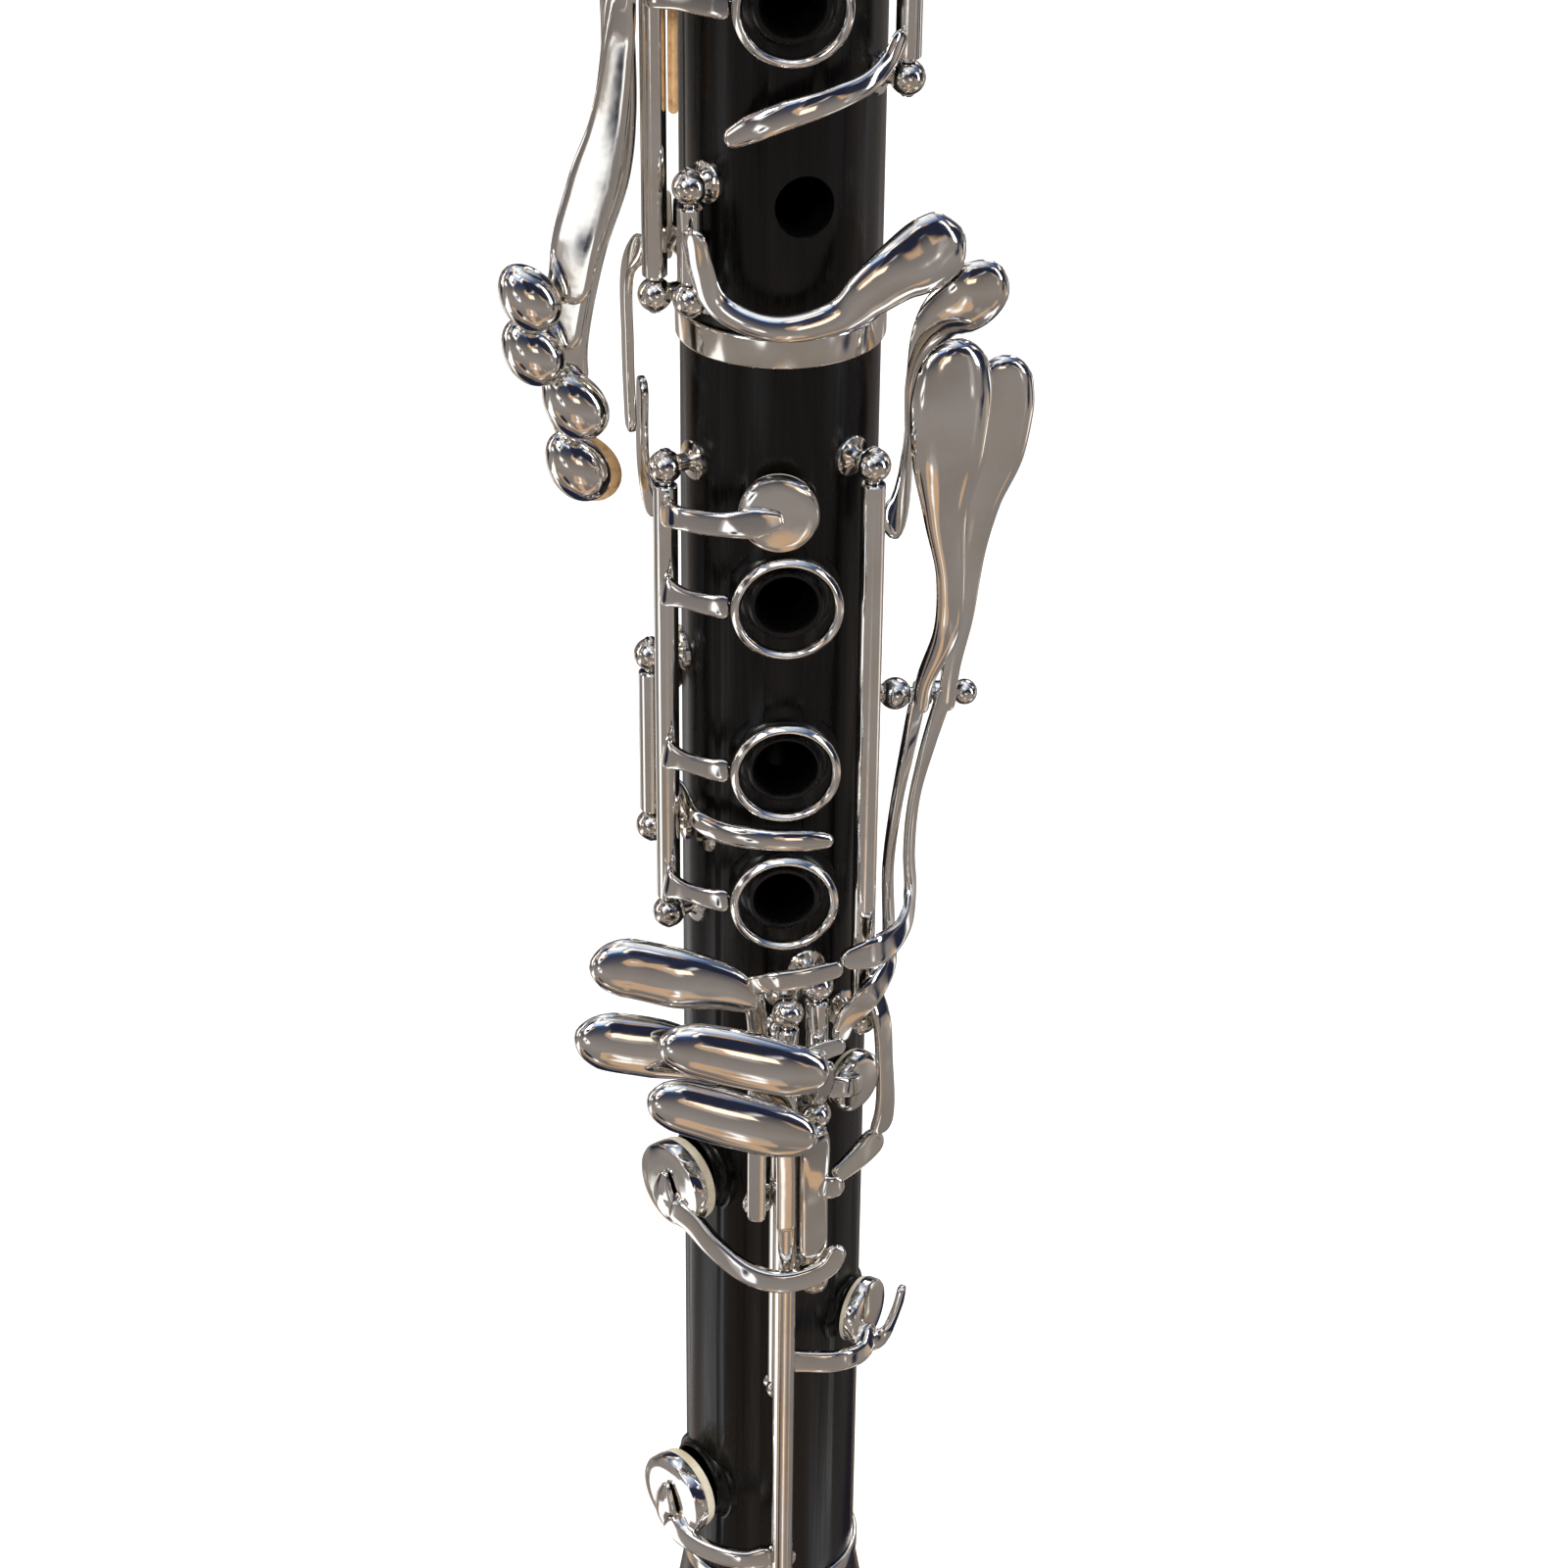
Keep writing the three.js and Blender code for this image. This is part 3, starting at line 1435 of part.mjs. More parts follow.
for (const [name, body] of Object.entries(RODS)) add(name, body, SILVER);

const KEYS = {
  lower_ring_key: lowerRingKey(),
  lower_sliver_key: lowerSliverKey(),
  right_e_b_key: rightEBKey(),
  right_f_sharp_key: rightFSharpKey(),
  right_f_c_key: rightFCKey(),
  right_a_flat_key: rightAFlatKey(),
  left_f_c_lever: leftFCLever(),
  left_e_b_lever: leftEBLever(),
  left_f_sharp_lever: leftFSharpLever(),
  first_ring_key: firstRingKey(),
  second_ring_key: secondRingKey(),
  thumb_ring_key: thumbRingKey(),
  c_sharp_key: cSharpKey(),
  upper_sliver_key: upperSliverKey(),
  throat_g_sharp_key: throatGSharpKey(),
  throat_a_key: throatAKey(),
  register_key: registerKey(),
};
for (const [name, body] of Object.entries(KEYS)) add(name, body, SILVER);
SIDE_KEYS.forEach((one, i) => add(`side_key_${i + 1}`, sideKey(one, SIDE_PADS[i]), SILVER));

const littlePad = padProfile(SHUT, LITTLE_PAD_R);
const lowerRingPad = openDisc(LOWER_STACK, RING_SWING, -2.6, low(302.5), padProfile(SHUT, LOWER_PAD_R));
add("lower_ring_pad", lowerRingPad, PAD);
add("right_f_c_pad", openDisc(F_C, LITTLE_SWING, ...F_C_CUP, littlePad), PAD);
add("right_e_b_pad", openDisc(E_B, LITTLE_SWING, ...E_B_CUP, littlePad), PAD);
add("right_f_sharp_pad", disc(57, low(157), padProfile(SHUT, 5.6)), PAD);
add("right_a_flat_pad", disc(43, low(204), padProfile(SHUT, 4.9)), PAD);
add("register_pad", disc(180, up(508), padProfile(REGISTER_SEAT + GAP, 3.9)), PAD);

export default clarinet;
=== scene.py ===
import json
import math

import bpy
import numpy as np
from mathutils import Matrix, Vector


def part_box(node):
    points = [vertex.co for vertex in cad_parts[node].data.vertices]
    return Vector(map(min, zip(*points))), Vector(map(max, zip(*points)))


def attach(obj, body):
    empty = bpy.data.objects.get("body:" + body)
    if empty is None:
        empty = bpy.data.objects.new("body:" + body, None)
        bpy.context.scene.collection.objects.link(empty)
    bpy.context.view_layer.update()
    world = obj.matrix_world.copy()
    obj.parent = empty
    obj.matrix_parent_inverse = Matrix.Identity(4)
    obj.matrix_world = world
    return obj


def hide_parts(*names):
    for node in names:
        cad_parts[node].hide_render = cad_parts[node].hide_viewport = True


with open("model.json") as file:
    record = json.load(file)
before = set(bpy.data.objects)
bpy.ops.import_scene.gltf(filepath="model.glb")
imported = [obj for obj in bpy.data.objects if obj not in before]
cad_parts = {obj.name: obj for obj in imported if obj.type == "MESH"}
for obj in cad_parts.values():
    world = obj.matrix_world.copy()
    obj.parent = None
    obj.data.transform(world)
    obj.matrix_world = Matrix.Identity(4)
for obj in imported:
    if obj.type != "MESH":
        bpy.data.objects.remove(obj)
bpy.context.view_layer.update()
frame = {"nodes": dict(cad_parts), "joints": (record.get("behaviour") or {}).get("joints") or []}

MM = 0.001
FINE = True
BODY_R = 14.0
BORE_R = 7.3
TUBE_R = 1.75
SLIM_TUBE_R = 1.5
BALL_R = 2.4
SMALL_BALL_R = 1.7
ROD_R = 0.9
RUNNING_GAP = 0.3
RING_LIFT = 4.2  # middle of a finger ring above the wood
SEAT_LIFT = 0.7
SHUT = 1.0  # lower face of a shut pad above the wood
OPEN = 2.6
PAD_THICK = 1.5
CUP_THICK = 1.5
LITTLE_PAD_R = 7.0
LITTLE_PAD_THICK = 2.3
LITTLE_CUP_THICK = 2.0
CHIMNEY = (5.3, 2.9)  # radius and lift of the wood round a finger hole
RING_PROUD = 0.7


# ---- places ----
def top_of(node):
    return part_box(node)[1].z / MM


def bottom_of(node):
    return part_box(node)[0].z / MM


LOWER_BASE = top_of("bell_socket_ring")
UPPER_BASE = top_of("lower_socket_ring")
BARREL_BASE = bottom_of("barrel_bottom_ring")
MOUTHPIECE_BASE = top_of("barrel_top_ring")
TIP_HEIGHT = top_of("mouthpiece")


def facing(phi):
    turn = math.radians(phi)
    return Vector((math.sin(turn), -math.cos(turn), 0))


def around(phi):
    return facing(phi + 90)


def at(lift, phi, z):
    """The point at a lift above the wood, at an angle from the front, at a height."""
    return facing(phi) * (BODY_R + lift) + Vector((0, 0, z))


class Line:
    """A hinge line: its place comes from a key's joint, and its posts from the rod's node."""

    def __init__(self, key, rod, inner=()):
        joint = next(j for j in frame["joints"] if j["child"] == key)
        self.key = key
        self.spot = Vector(joint["pos_m"]) / MM
        self.lift = math.hypot(self.spot.x, self.spot.y) - BODY_R
        self.phi = math.degrees(math.atan2(self.spot.x, -self.spot.y))
        self.z = self.spot.z
        self.axis = Vector(joint["axis"])
        self.swing = joint["range_deg"][1]
        low, high = (corner.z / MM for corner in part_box(rod))
        head = SMALL_BALL_R if rod == "right_f_sharp_rod" else BALL_R
        self.posts = [low + head, *inner, high - head]


LOWER_STACK = Line("lower_ring_key", "lower_stack_rod")
LOWER_SLIVER = Line("lower_sliver_key", "lower_sliver_rod")
E_B = Line("right_e_b_key", "right_e_b_rod")
F_SHARP = Line("right_f_sharp_key", "right_f_sharp_rod")
F_C = Line("right_f_c_key", "right_f_c_rod", inner=(202.5,))
LEFT_F_C = Line("left_f_c_lever", "left_f_c_rod")
UPPER_STACK = Line("second_ring_key", "upper_stack_rod", inner=(380,))
THUMB_RING = Line("thumb_ring_key", "thumb_ring_rod")
C_SHARP = Line("c_sharp_key", "c_sharp_rod")
UPPER_SLIVER = Line("upper_sliver_key", "upper_sliver_rod")
THROAT_G_SHARP = Line("throat_g_sharp_key", "throat_g_sharp_rod")
THROAT_A = Line("throat_a_key", "throat_a_rod")
REGISTER = Line("register_key", "register_rod")
SIDE_LINES = [Line(f"side_key_{i}", "side_key_rod") for i in (1, 2, 3, 4)]
LONG_LEVERS = [Line(name, "left_pivot_rod") for name in ("left_e_b_lever", "left_f_sharp_lever")]


# ---- solids: lists of vertices and faces, in millimetres ----
def loft(rings, cap=True):
    """Joins rings of points, all of one length, into a closed solid."""
    count = len(rings[0])
    points = [p for ring in rings for p in ring]
    faces = []
    for i in range(len(rings) - 1):
        for j in range(count):
            k = (j + 1) % count
            a, b = i * count, (i + 1) * count
            faces.append((a + j, a + k, b + k, b + j))
    if cap:
        faces.append(tuple(range(count))[::-1])
        faces.append(tuple(range(len(points) - count, len(points))))
    return points, faces


def frame_across(direction):
    """Two unit vectors at right angles to a direction."""
    along = direction.normalized()
    helper = Vector((0, 0, 1)) if abs(along.z) < 0.9 else Vector((1, 0, 0))
    one = along.cross(helper).normalized()
    return one, along.cross(one).normalized()


def rounded(profile, radius=0.25, steps=3):
    """A closed profile with each of its corners turned into a small arc; corners on the axis stay."""
    out = []
    count = len(profile)
    for i, corner in enumerate(profile):
        here = Vector(corner)
        before, after = Vector(profile[i - 1]), Vector(profile[(i + 1) % count])
        to_before, to_after = before - here, after - here
        straight = to_before.angle(to_after, math.pi) > math.radians(165)
        if here.x < 1e-6 or straight or not FINE and radius < 0.2:
            out.append(tuple(here))
            continue
        reach = min(radius, to_before.length * 0.45, to_after.length * 0.45)
        start, end = here + to_before.normalized() * reach, here + to_after.normalized() * reach
        for k in range(steps + 1):
            t = k / steps
            out.append(tuple(start * (1 - t) ** 2 + here * 2 * t * (1 - t) + end * t * t))
    return out


def lathe(profile, origin=Vector((0, 0, 0)), direction=Vector((0, 0, 1)), sides=48):
    """Turns a closed profile of (radius, height) about a direction through an origin."""
    one, two = frame_across(direction)
    along = direction.normalized()
    points, index = [], []
    for radius, height in profile:
        ring = []
        for j in range(1 if radius < 1e-6 else sides):
            turn = 2 * math.pi * j / sides
            ring.append(len(points))
            spoke = one * math.cos(turn) + two * math.sin(turn)
            points.append(origin + along * height + spoke * max(radius, 0))
        index.append(ring)
    faces = []
    for i in range(len(index)):
        a, b = index[i], index[(i + 1) % len(index)]
        for j in range(sides):
            k = (j + 1) % sides
            corner = [a[j % len(a)], a[k % len(a)], b[k % len(b)], b[j % len(b)]]
            face = list(dict.fromkeys(corner))
            if len(face) > 2:
                faces.append(tuple(face))
    return points, faces


def tube(start, end, radius, sides=32, chamfer=0.2):
    """A turned bar with its edges broken."""
    length = (end - start).length
    chamfer = min(chamfer, radius * 0.4, length * 0.3)
    profile = [(0, 0), (radius - chamfer, 0), (radius, chamfer), (radius, length - chamfer)]
    profile += [(radius - chamfer, length), (0, length)]
    return lathe(profile, start, end - start, sides)


def ball(centre, radius, sides=32):
    steps = sides // 2
    turns = [math.pi * i / steps for i in range(steps + 1)]
    return lathe([(radius * math.sin(t), -radius * math.cos(t)) for t in turns], centre, sides=sides)


def disc(phi, z, profile, sides=56):
    """A turned piece that looks out from the bore: profile of (radius, lift above the wood)."""
    lifted = [(radius, BODY_R + lift) for radius, lift in profile]
    return lathe(lifted, Vector((0, 0, z)), facing(phi), sides)


def swung(shape, line, degrees):
    """A shape drawn with its key shut, swung open about the key's hinge."""
    turn = Matrix.Rotation(math.radians(-degrees), 3, line.axis)
    return [line.spot + turn @ (p - line.spot) for p in shape[0]], shape[1]


def curve_through(points, steps):
    """Points along a centripetal Catmull-Rom curve, with `steps` to each stretch."""
    ends = [points[0] * 2 - points[1], *points, points[-1] * 2 - points[-2]]
    line = []
    for p0, p1, p2, p3 in zip(ends, ends[1:], ends[2:], ends[3:]):
        t1 = max((p1 - p0).length, 1e-6) ** 0.5
        t2 = t1 + max((p2 - p1).length, 1e-6) ** 0.5
        t3 = t2 + max((p3 - p2).length, 1e-6) ** 0.5
        for k in range(steps):
            t = t1 + (t2 - t1) * k / steps
            a1 = p0 * ((t1 - t) / t1) + p1 * (t / t1)
            a2 = p1 * ((t2 - t) / (t2 - t1)) + p2 * ((t - t1) / (t2 - t1))
            a3 = p2 * ((t3 - t) / (t3 - t2)) + p3 * ((t - t2) / (t3 - t2))
            b1 = a1 * ((t2 - t) / t2) + a2 * (t / t2)
            b2 = a2 * ((t3 - t) / (t3 - t1)) + a3 * ((t - t1) / (t3 - t1))
            line.append(b1 * ((t2 - t) / (t2 - t1)) + b2 * ((t - t1) / (t2 - t1)))
    return [*line, points[-1]]


def eased(values, steps):
    """Values between stations on a smooth curve that never overshoots a station."""
    slopes = [0.0]
    for before, here, after in zip(values, values[1:], values[2:]):
        rise, fall = here - before, after - here
        slopes.append(0.0 if rise * fall <= 0 else 2 * rise * fall / (rise + fall))
    slopes.append(0.0)
    if len(values) > 1:
        slopes[0], slopes[-1] = values[1] - values[0], values[-1] - values[-2]
    out = []
    for v0, v1, m0, m1 in zip(values, values[1:], slopes, slopes[1:]):
        for k in range(steps):
            t = k / steps
            h = (1 + 2 * t) * (1 - t) ** 2, t * (1 - t) ** 2, t * t * (3 - 2 * t), t * t * (t - 1)
            out.append(h[0] * v0 + h[1] * m0 + h[2] * v1 + h[3] * m1)
    return [*out, values[-1]]


def section(kind, count):
    """The outline of a swept bar as (across, outward) shares of its half width and half thickness."""
    power, belly = {"bar": (4.5, 1.0), "spoon": (2.3, 0.45), "bean": (2.05, 0.28), "round": (2.0, 1.0)}[kind]
    out = []
    for i in range(count):
        turn = 2 * math.pi * (i + 0.5) / count
        c, s = math.cos(turn), math.sin(turn)
        x = math.copysign(abs(c) ** (2 / power), c)
        y = math.copysign(abs(s) ** (2 / power), s)
        out.append((x, y if y > 0 else y * belly))
    return out


STEPS = 16


def strap(stations, thick, kind="bar"):
    """A bar swept through stations of (lift, angle, height, width, facing angle), bent on the flat."""
    spots = [(at(*s[:3]), s[3], s[4] if len(s) > 4 else s[1]) for s in stations]
    path = curve_through([s[0] for s in spots], STEPS)
    widths = eased([s[1] for s in spots], STEPS)
    faces = eased([s[2] for s in spots], STEPS)
    thicks = eased(list(thick), STEPS) if isinstance(thick, (list, tuple)) else [thick] * len(path)
    run = [0.0]
    for p, q in zip(path, path[1:]):
        run.append(run[-1] + (q - p).length)
    length = run[-1]
    grain = 0.7 if FINE else 1.4
    reach = [min(widths[0] / 2, length / 3), min(widths[-1] / 2, length / 3)]
    turns = 6 if FINE else 3
    places = [reach[0] * (1 - math.cos(math.pi / 2 * k / turns)) for k in range(1, turns)]
    middle = max(2, int((length - sum(reach)) / grain))
    places += [reach[0] + (length - sum(reach)) * k / middle for k in range(middle + 1)]
    places += [length - reach[1] * (1 - math.cos(math.pi / 2 * k / turns)) for k in range(turns - 1, 0, -1)]
    outline = section(kind, 24 if FINE else 14)
    rings = []
    for place in places:
        i = min(max(0, int(np.searchsorted(run, place)) - 1), len(path) - 2)
        share = (place - run[i]) / max(run[i + 1] - run[i], 1e-9)
        spot = path[i].lerp(path[i + 1], share)
        width = widths[i] + (widths[i + 1] - widths[i]) * share
        depth = thicks[i] + (thicks[i + 1] - thicks[i]) * share
        phi = faces[i] + (faces[i + 1] - faces[i]) * share
        ahead = path[min(i + 2, len(path) - 1)] - path[max(i - 1, 0)]
        face = facing(phi)
        face.z = 0.2  # keeps a width across a stretch that runs straight out from the body
        across = ahead.cross(face).normalized()
        outward = across.cross(ahead).normalized()
        for near, rounding in ((place, reach[0]), (length - place, reach[1])):
            if near < rounding:
                width *= math.sqrt(max(0.0, 1 - (1 - near / rounding) ** 2))
            if near < depth / 2:
                depth *= math.sqrt(max(0.02, 1 - (1 - near / (depth / 2)) ** 2))
        rings.append([spot + across * (x * width / 2) + outward * (y * depth / 2) for x, y in outline])
    return loft(rings)


# ---- meshes ----
def mesh_of(name, shape):
    mesh = bpy.data.meshes.new(name)
    mesh.from_pydata([tuple(p * MM) for p in shape[0]], [], shape[1])
    mesh.validate()
    mesh.update()
    return mesh


def faced_out(mesh):
    """Turns a closed mesh inside out where its faces look inwards."""
    points = np.zeros(len(mesh.vertices) * 3)
    mesh.vertices.foreach_get("co", points)
    points = points.reshape(-1, 3)
    mesh.calc_loop_triangles()
    size = len(mesh.loop_triangles)
    corners = np.zeros(size * 3, np.int32)
    mesh.loop_triangles.foreach_get("vertices", corners)
    a, b, c = (points[corners.reshape(-1, 3)[:, i]] for i in range(3))
    if float(np.einsum("ij,ij->i", a, np.cross(b, c)).sum()) < 0:
        mesh.flip_normals()
    return mesh


def apply_boolean(base, other, action):
    """Joins a piece with another one, or cuts it, and removes the other."""
    step = base.modifiers.new("step", "BOOLEAN")
    step.solver = "MANIFOLD"
    step.operation = action
    step.object = other
    bpy.context.view_layer.update()
    result = bpy.data.meshes.new_from_object(base.evaluated_get(bpy.context.evaluated_depsgraph_get()))
    base.modifiers.clear()
    base.data = result
    bpy.data.objects.remove(other)


def combined(name, shapes, cuts=()):
    """One closed mesh: the shapes joined, then the cuts taken away."""
    parts = [faced_out(mesh_of(name, shape)) for shape in shapes]
    tools = [faced_out(mesh_of(name, shape)) for shape in cuts]
    base = bpy.data.objects.new(name, parts[0])
    bpy.context.scene.collection.objects.link(base)
    for tool, action in [(p, "UNION") for p in parts[1:]] + [(t, "DIFFERENCE") for t in tools]:
        other = bpy.data.objects.new(name + "_tool", tool)
        bpy.context.scene.collection.objects.link(other)
        apply_boolean(base, other, action)
    return base


def finished(piece, material, body, nodes, sharp=32):
    """Shades a piece, gives it its material, and hands it to the body it moves with."""
    mesh = piece.data
    mesh.name = piece.name
    mesh.materials.clear()
    mesh.materials.append(material)
    mesh.polygons.foreach_set("material_index", [0] * len(mesh.polygons))
    mesh.polygons.foreach_set("use_smooth", [True] * len(mesh.polygons))
    mesh.set_sharp_from_angle(angle=math.radians(sharp))
    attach(piece, body)
    if nodes:
        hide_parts(*nodes)
    return piece


# ---- keywork vocabulary ----
def post(lift, phi, z, head=BALL_R):
    """A turned post: a collar on the wood, a waisted stem and a ball."""
    stem = 1.25
    collar = 2.9 if head > SMALL_BALL_R else 2.0
    low = [(0, -0.3), (collar, -0.3), (collar, 0.3), (collar - 0.15, 0.5), (stem + 0.5, 0.65), (stem, 1.1)]
    start = math.asin(stem / head)
    steps = 20 if FINE else 10
    arc = [start + (math.pi - start) * k / steps for k in range(steps + 1)]
    head_line = [(head * math.sin(t), lift - head * math.cos(t)) for t in arc]
    return disc(phi, z, low + head_line, 36)


def posted_rod(line, head=BALL_R, rod_r=ROD_R):
    """A rod with its posts; a slotted screw head shows at each end."""
    low, high = line.posts[0] - head - 0.15, line.posts[-1] + head + 0.15
    shapes = [tube(at(line.lift, line.phi, low), at(line.lift, line.phi, high), rod_r)]
    shapes += [post(line.lift, line.phi, z, head) for z in line.posts]
    slots = []
    for end in (low, high):
        side = around(line.phi) * 1.2
        middle = at(line.lift, line.phi, end)
        slots.append(tube(middle - side, middle + side, 0.22, 8, 0.01))
    return shapes, slots


def between(low, high, head=BALL_R):
    """The stretch of a hinge tube between two posts."""
    return low + head + RUNNING_GAP, high - head - RUNNING_GAP


def hinge_tube(line, low, high, radius=TUBE_R):
    """A hinge tube, and the bore to cut through everything joined to it."""
    whole = tube(at(line.lift, line.phi, low), at(line.lift, line.phi, high), radius)
    bore = tube(at(line.lift, line.phi, low - 1), at(line.lift, line.phi, high + 1), ROD_R + 0.25, 20, 0.01)
    return whole, bore


def finger_ring(lift, phi, z, outer=7.9):
    """A ring round a finger hole, its top edge rounded and its inside bevelled to the wood."""
    top, low = lift + 0.7, lift - 0.7
    profile = [(6.5, low), (outer - 0.15, low), (outer, low + 0.3), (outer, top - 0.6)]
    profile += [(outer - 0.6, top), (7.0, top), (6.5, top - 0.6)]
    return disc(phi, z, rounded(profile, 0.35, 4), 96)


def cup(lift, radius, crown=0.5, thick=CUP_THICK, pad=PAD_THICK):
    """A key cup: a plate with a rim that holds the pad, and a low crown."""
    floor = lift + pad + 0.1
    top = floor + thick - 0.2
    profile = [(0, floor), (radius, floor - 0.6), (radius, top - 0.55), (radius - 0.25, top - 0.15)]
    shares = (0.86, 0.7, 0.5, 0.3, 0.15, 0)
    return profile + [(radius * share, top + crown * 0.4 * (1 - share**2)) for share in shares]


def pad_profile(lift, radius, thick=PAD_THICK):
    """A pad: a flat disc of skin over felt, with a soft edge."""
    edge = radius - 0.05
    return [(0, lift), (edge - 0.5, lift), (edge - 0.12, lift + 0.18), (edge, lift + 0.6),
            (edge, lift + thick - 0.1), (0, lift + thick - 0.1)]


def ring_arm(line, z, phi, side=1):
    """The arm from a hinge tube to a finger ring: it rises, thins and spreads into the ring."""
    start = line.phi + 2 * side
    return strap([
        (line.lift + 0.7, start, z, 5.2),
        (line.lift + 1.5, start + 6 * side, z, 4.2),
        (5.7, phi - 44 * side, z, 2.7),
        (5.1, phi - 32 * side, z, 3.2),
        (4.5, phi - 25 * side, z, 6.4),
    ], 1.3)


KEYS = {}
PADS = {}


def key(name, shapes, cuts=(), body=None, pad=None):
    """A key in one piece, and its pad, riding on the key's body."""
    KEYS[name] = (shapes, list(cuts), body or name)
    if pad:
        pad_name, shape = pad
        PADS[pad_name] = (shape, body or name)


def hinged(line, shapes, lid=None, pad="", name=None, posts=None, rings=(), ring_phi=0, ring_side=1, swing=0):
    """A key on a rod: its tube, arms and finger rings, and a cup at (angle, height, radius) with its pad."""
    whole, bore = hinge_tube(line, *between(*(posts or line.posts)))
    shapes = [whole, *shapes]
    if lid:
        phi, z, radius = lid
        shapes.append(swung(disc(phi, z, cup(SHUT, radius)), line, swing))
        pad = pad, swung(disc(phi, z, pad_profile(SHUT, radius - 0.1)), line, swing)
    shapes += [ring_arm(line, z, ring_phi, ring_side) for z in rings]
    shapes += [finger_ring(RING_LIFT, ring_phi, z) for z in rings]
    key(name or line.key, shapes, [bore], pad=pad)


# ---- keys of the lower joint ----
RIGHT_RINGS = (287.9, 261.6, 239.7)


def lower_ring_key():
    line = LOWER_STACK
    pad_arm = strap([
        (line.lift + 1.0, line.phi + 3, 299.8, 5), (6.6, -46, 300.6, 3.2), (6.2, -28, 301.2, 3.4),
        (5.7, -14, 301.8, 4.2), (5.5, -2, 302.4, 1.8),
    ], [1.5, 1.5, 1.5, 1.4, 0.7])
    tab = strap([
        (line.lift + 0.4, -68, 297.5, 5), (5.5, -80, 303, 4.6), (5.6, -81, 317, 4.6),
    ], 1.2)
    hinged(line, [pad_arm, tab], (-2.6, 302.5, 5.6), "lower_ring_pad", rings=RIGHT_RINGS, swing=line.swing)


def lower_sliver_key():
    line = LOWER_SLIVER
    touch = strap([
        (line.lift - 1.2, line.phi + 4, 254, 3.6), (1.7, -68, 252.4, 3), (1.8, -58, 251, 2.8),
        (3, -46.5, 250.6, 3), (3.3, -28, 250.2, 3.4), (3.3, -10, 250.2, 3.4), (3.4, 10, 249.8, 3.2),
        (3.6, 24, 249, 2.0),
    ], [1.3, 1.3, 1.3, 1.5, 1.8, 1.8, 1.6, 1.2], "spoon")
    pad_arm = strap([
        (line.lift, line.phi - 4, 267, 4), (5.4, -96, 267.6, 3), (4.3, -111, 268, 3.4),
    ], 1.4)
    hinged(line, [touch, pad_arm], (-112, 268, 5), "lower_sliver_skin")


E_B_CUP = (-59, 122)
F_C_CUP = (-59, 185)


def little_key(line, shapes, place, arm_end, pad_name):
    """A key with a big open cup: its pad, and the pointed end of its arm raised on the cup's crown."""
    whole, bore = hinge_tube(line, *between(*line.posts[:2]))
    arm_phi, arm_z = arm_end
    top = SHUT + LITTLE_PAD_THICK + LITTLE_CUP_THICK
    crown = strap([
        (top + 0.1, arm_phi, arm_z, 4.2),
        (top + 0.6, place[0] + 1, arm_z + (place[1] - arm_z) * 0.45, 5.6, place[0]),
        (top + 0.7, place[0], place[1] - 0.2, 4.6, place[0]),
        (top + 0.5, place[0], place[1] + 3.2, 1.4, place[0]),
    ], [1.6, 1.8, 1.6, 0.8], "spoon")
    shell = disc(*place, cup(SHUT, LITTLE_PAD_R, 0.5, LITTLE_CUP_THICK, LITTLE_PAD_THICK))
    shell = swung(shell, line, line.swing)
    pad = swung(disc(*place, pad_profile(SHUT, LITTLE_PAD_R - 0.1, LITTLE_PAD_THICK)), line, line.swing)
    key(line.key, [whole, *shapes, shell, swung(crown, line, line.swing)], [bore], pad=(pad_name, pad))


def right_e_b_key():
    line = E_B
    lift = line.lift + TUBE_R  # top of the tube
    spine = strap([
        (lift + 0.1, 1, 183, 3), (lift + 0.6, 0.5, 198, 3), (lift + 1.5, -1, 208, 3.2),
        (lift + 1.9, -9, 212, 4), (lift + 1.8, -22, 214, 5),
    ], 1.6)
    touch = strap([
        (lift + 1.6, -19, 212.2, 4.4, -12), (10.2, -32, 214.6, 7.6, -12), (14.4, -44, 216.8, 9.8, -14),
        (19, -51.6, 218.2, 9.6, -16), (23.2, -56.6, 219.8, 5, -18),
    ], [1.8, 2.6, 4.4, 4.6, 3], "bean")
    pad_arm = strap([
        (line.lift, -3, 116, 4.4), (7, -16, 115.6, 3.2), (7.2, -34, 115.8, 3.2),
        (OPEN + 4.9, -47, 116.8, 3.6), (OPEN + 5.2, -55, 118.6, 4.4),
    ], [2.2, 1.8, 1.7, 1.6, 1.5])
    lever_tab = strap([
        (lift + 1.8, -7, 211.6, 3.4), (lift + 1.2, 2, 214, 3.2), (lift + 0.5, 13, 215.6, 3),
        (lift + 0.8, 24, 216.4, 2.6),
    ], 1.1)
    little_key(line, [spine, touch, pad_arm, lever_tab], E_B_CUP, (-52, 117), "right_e_b_pad")


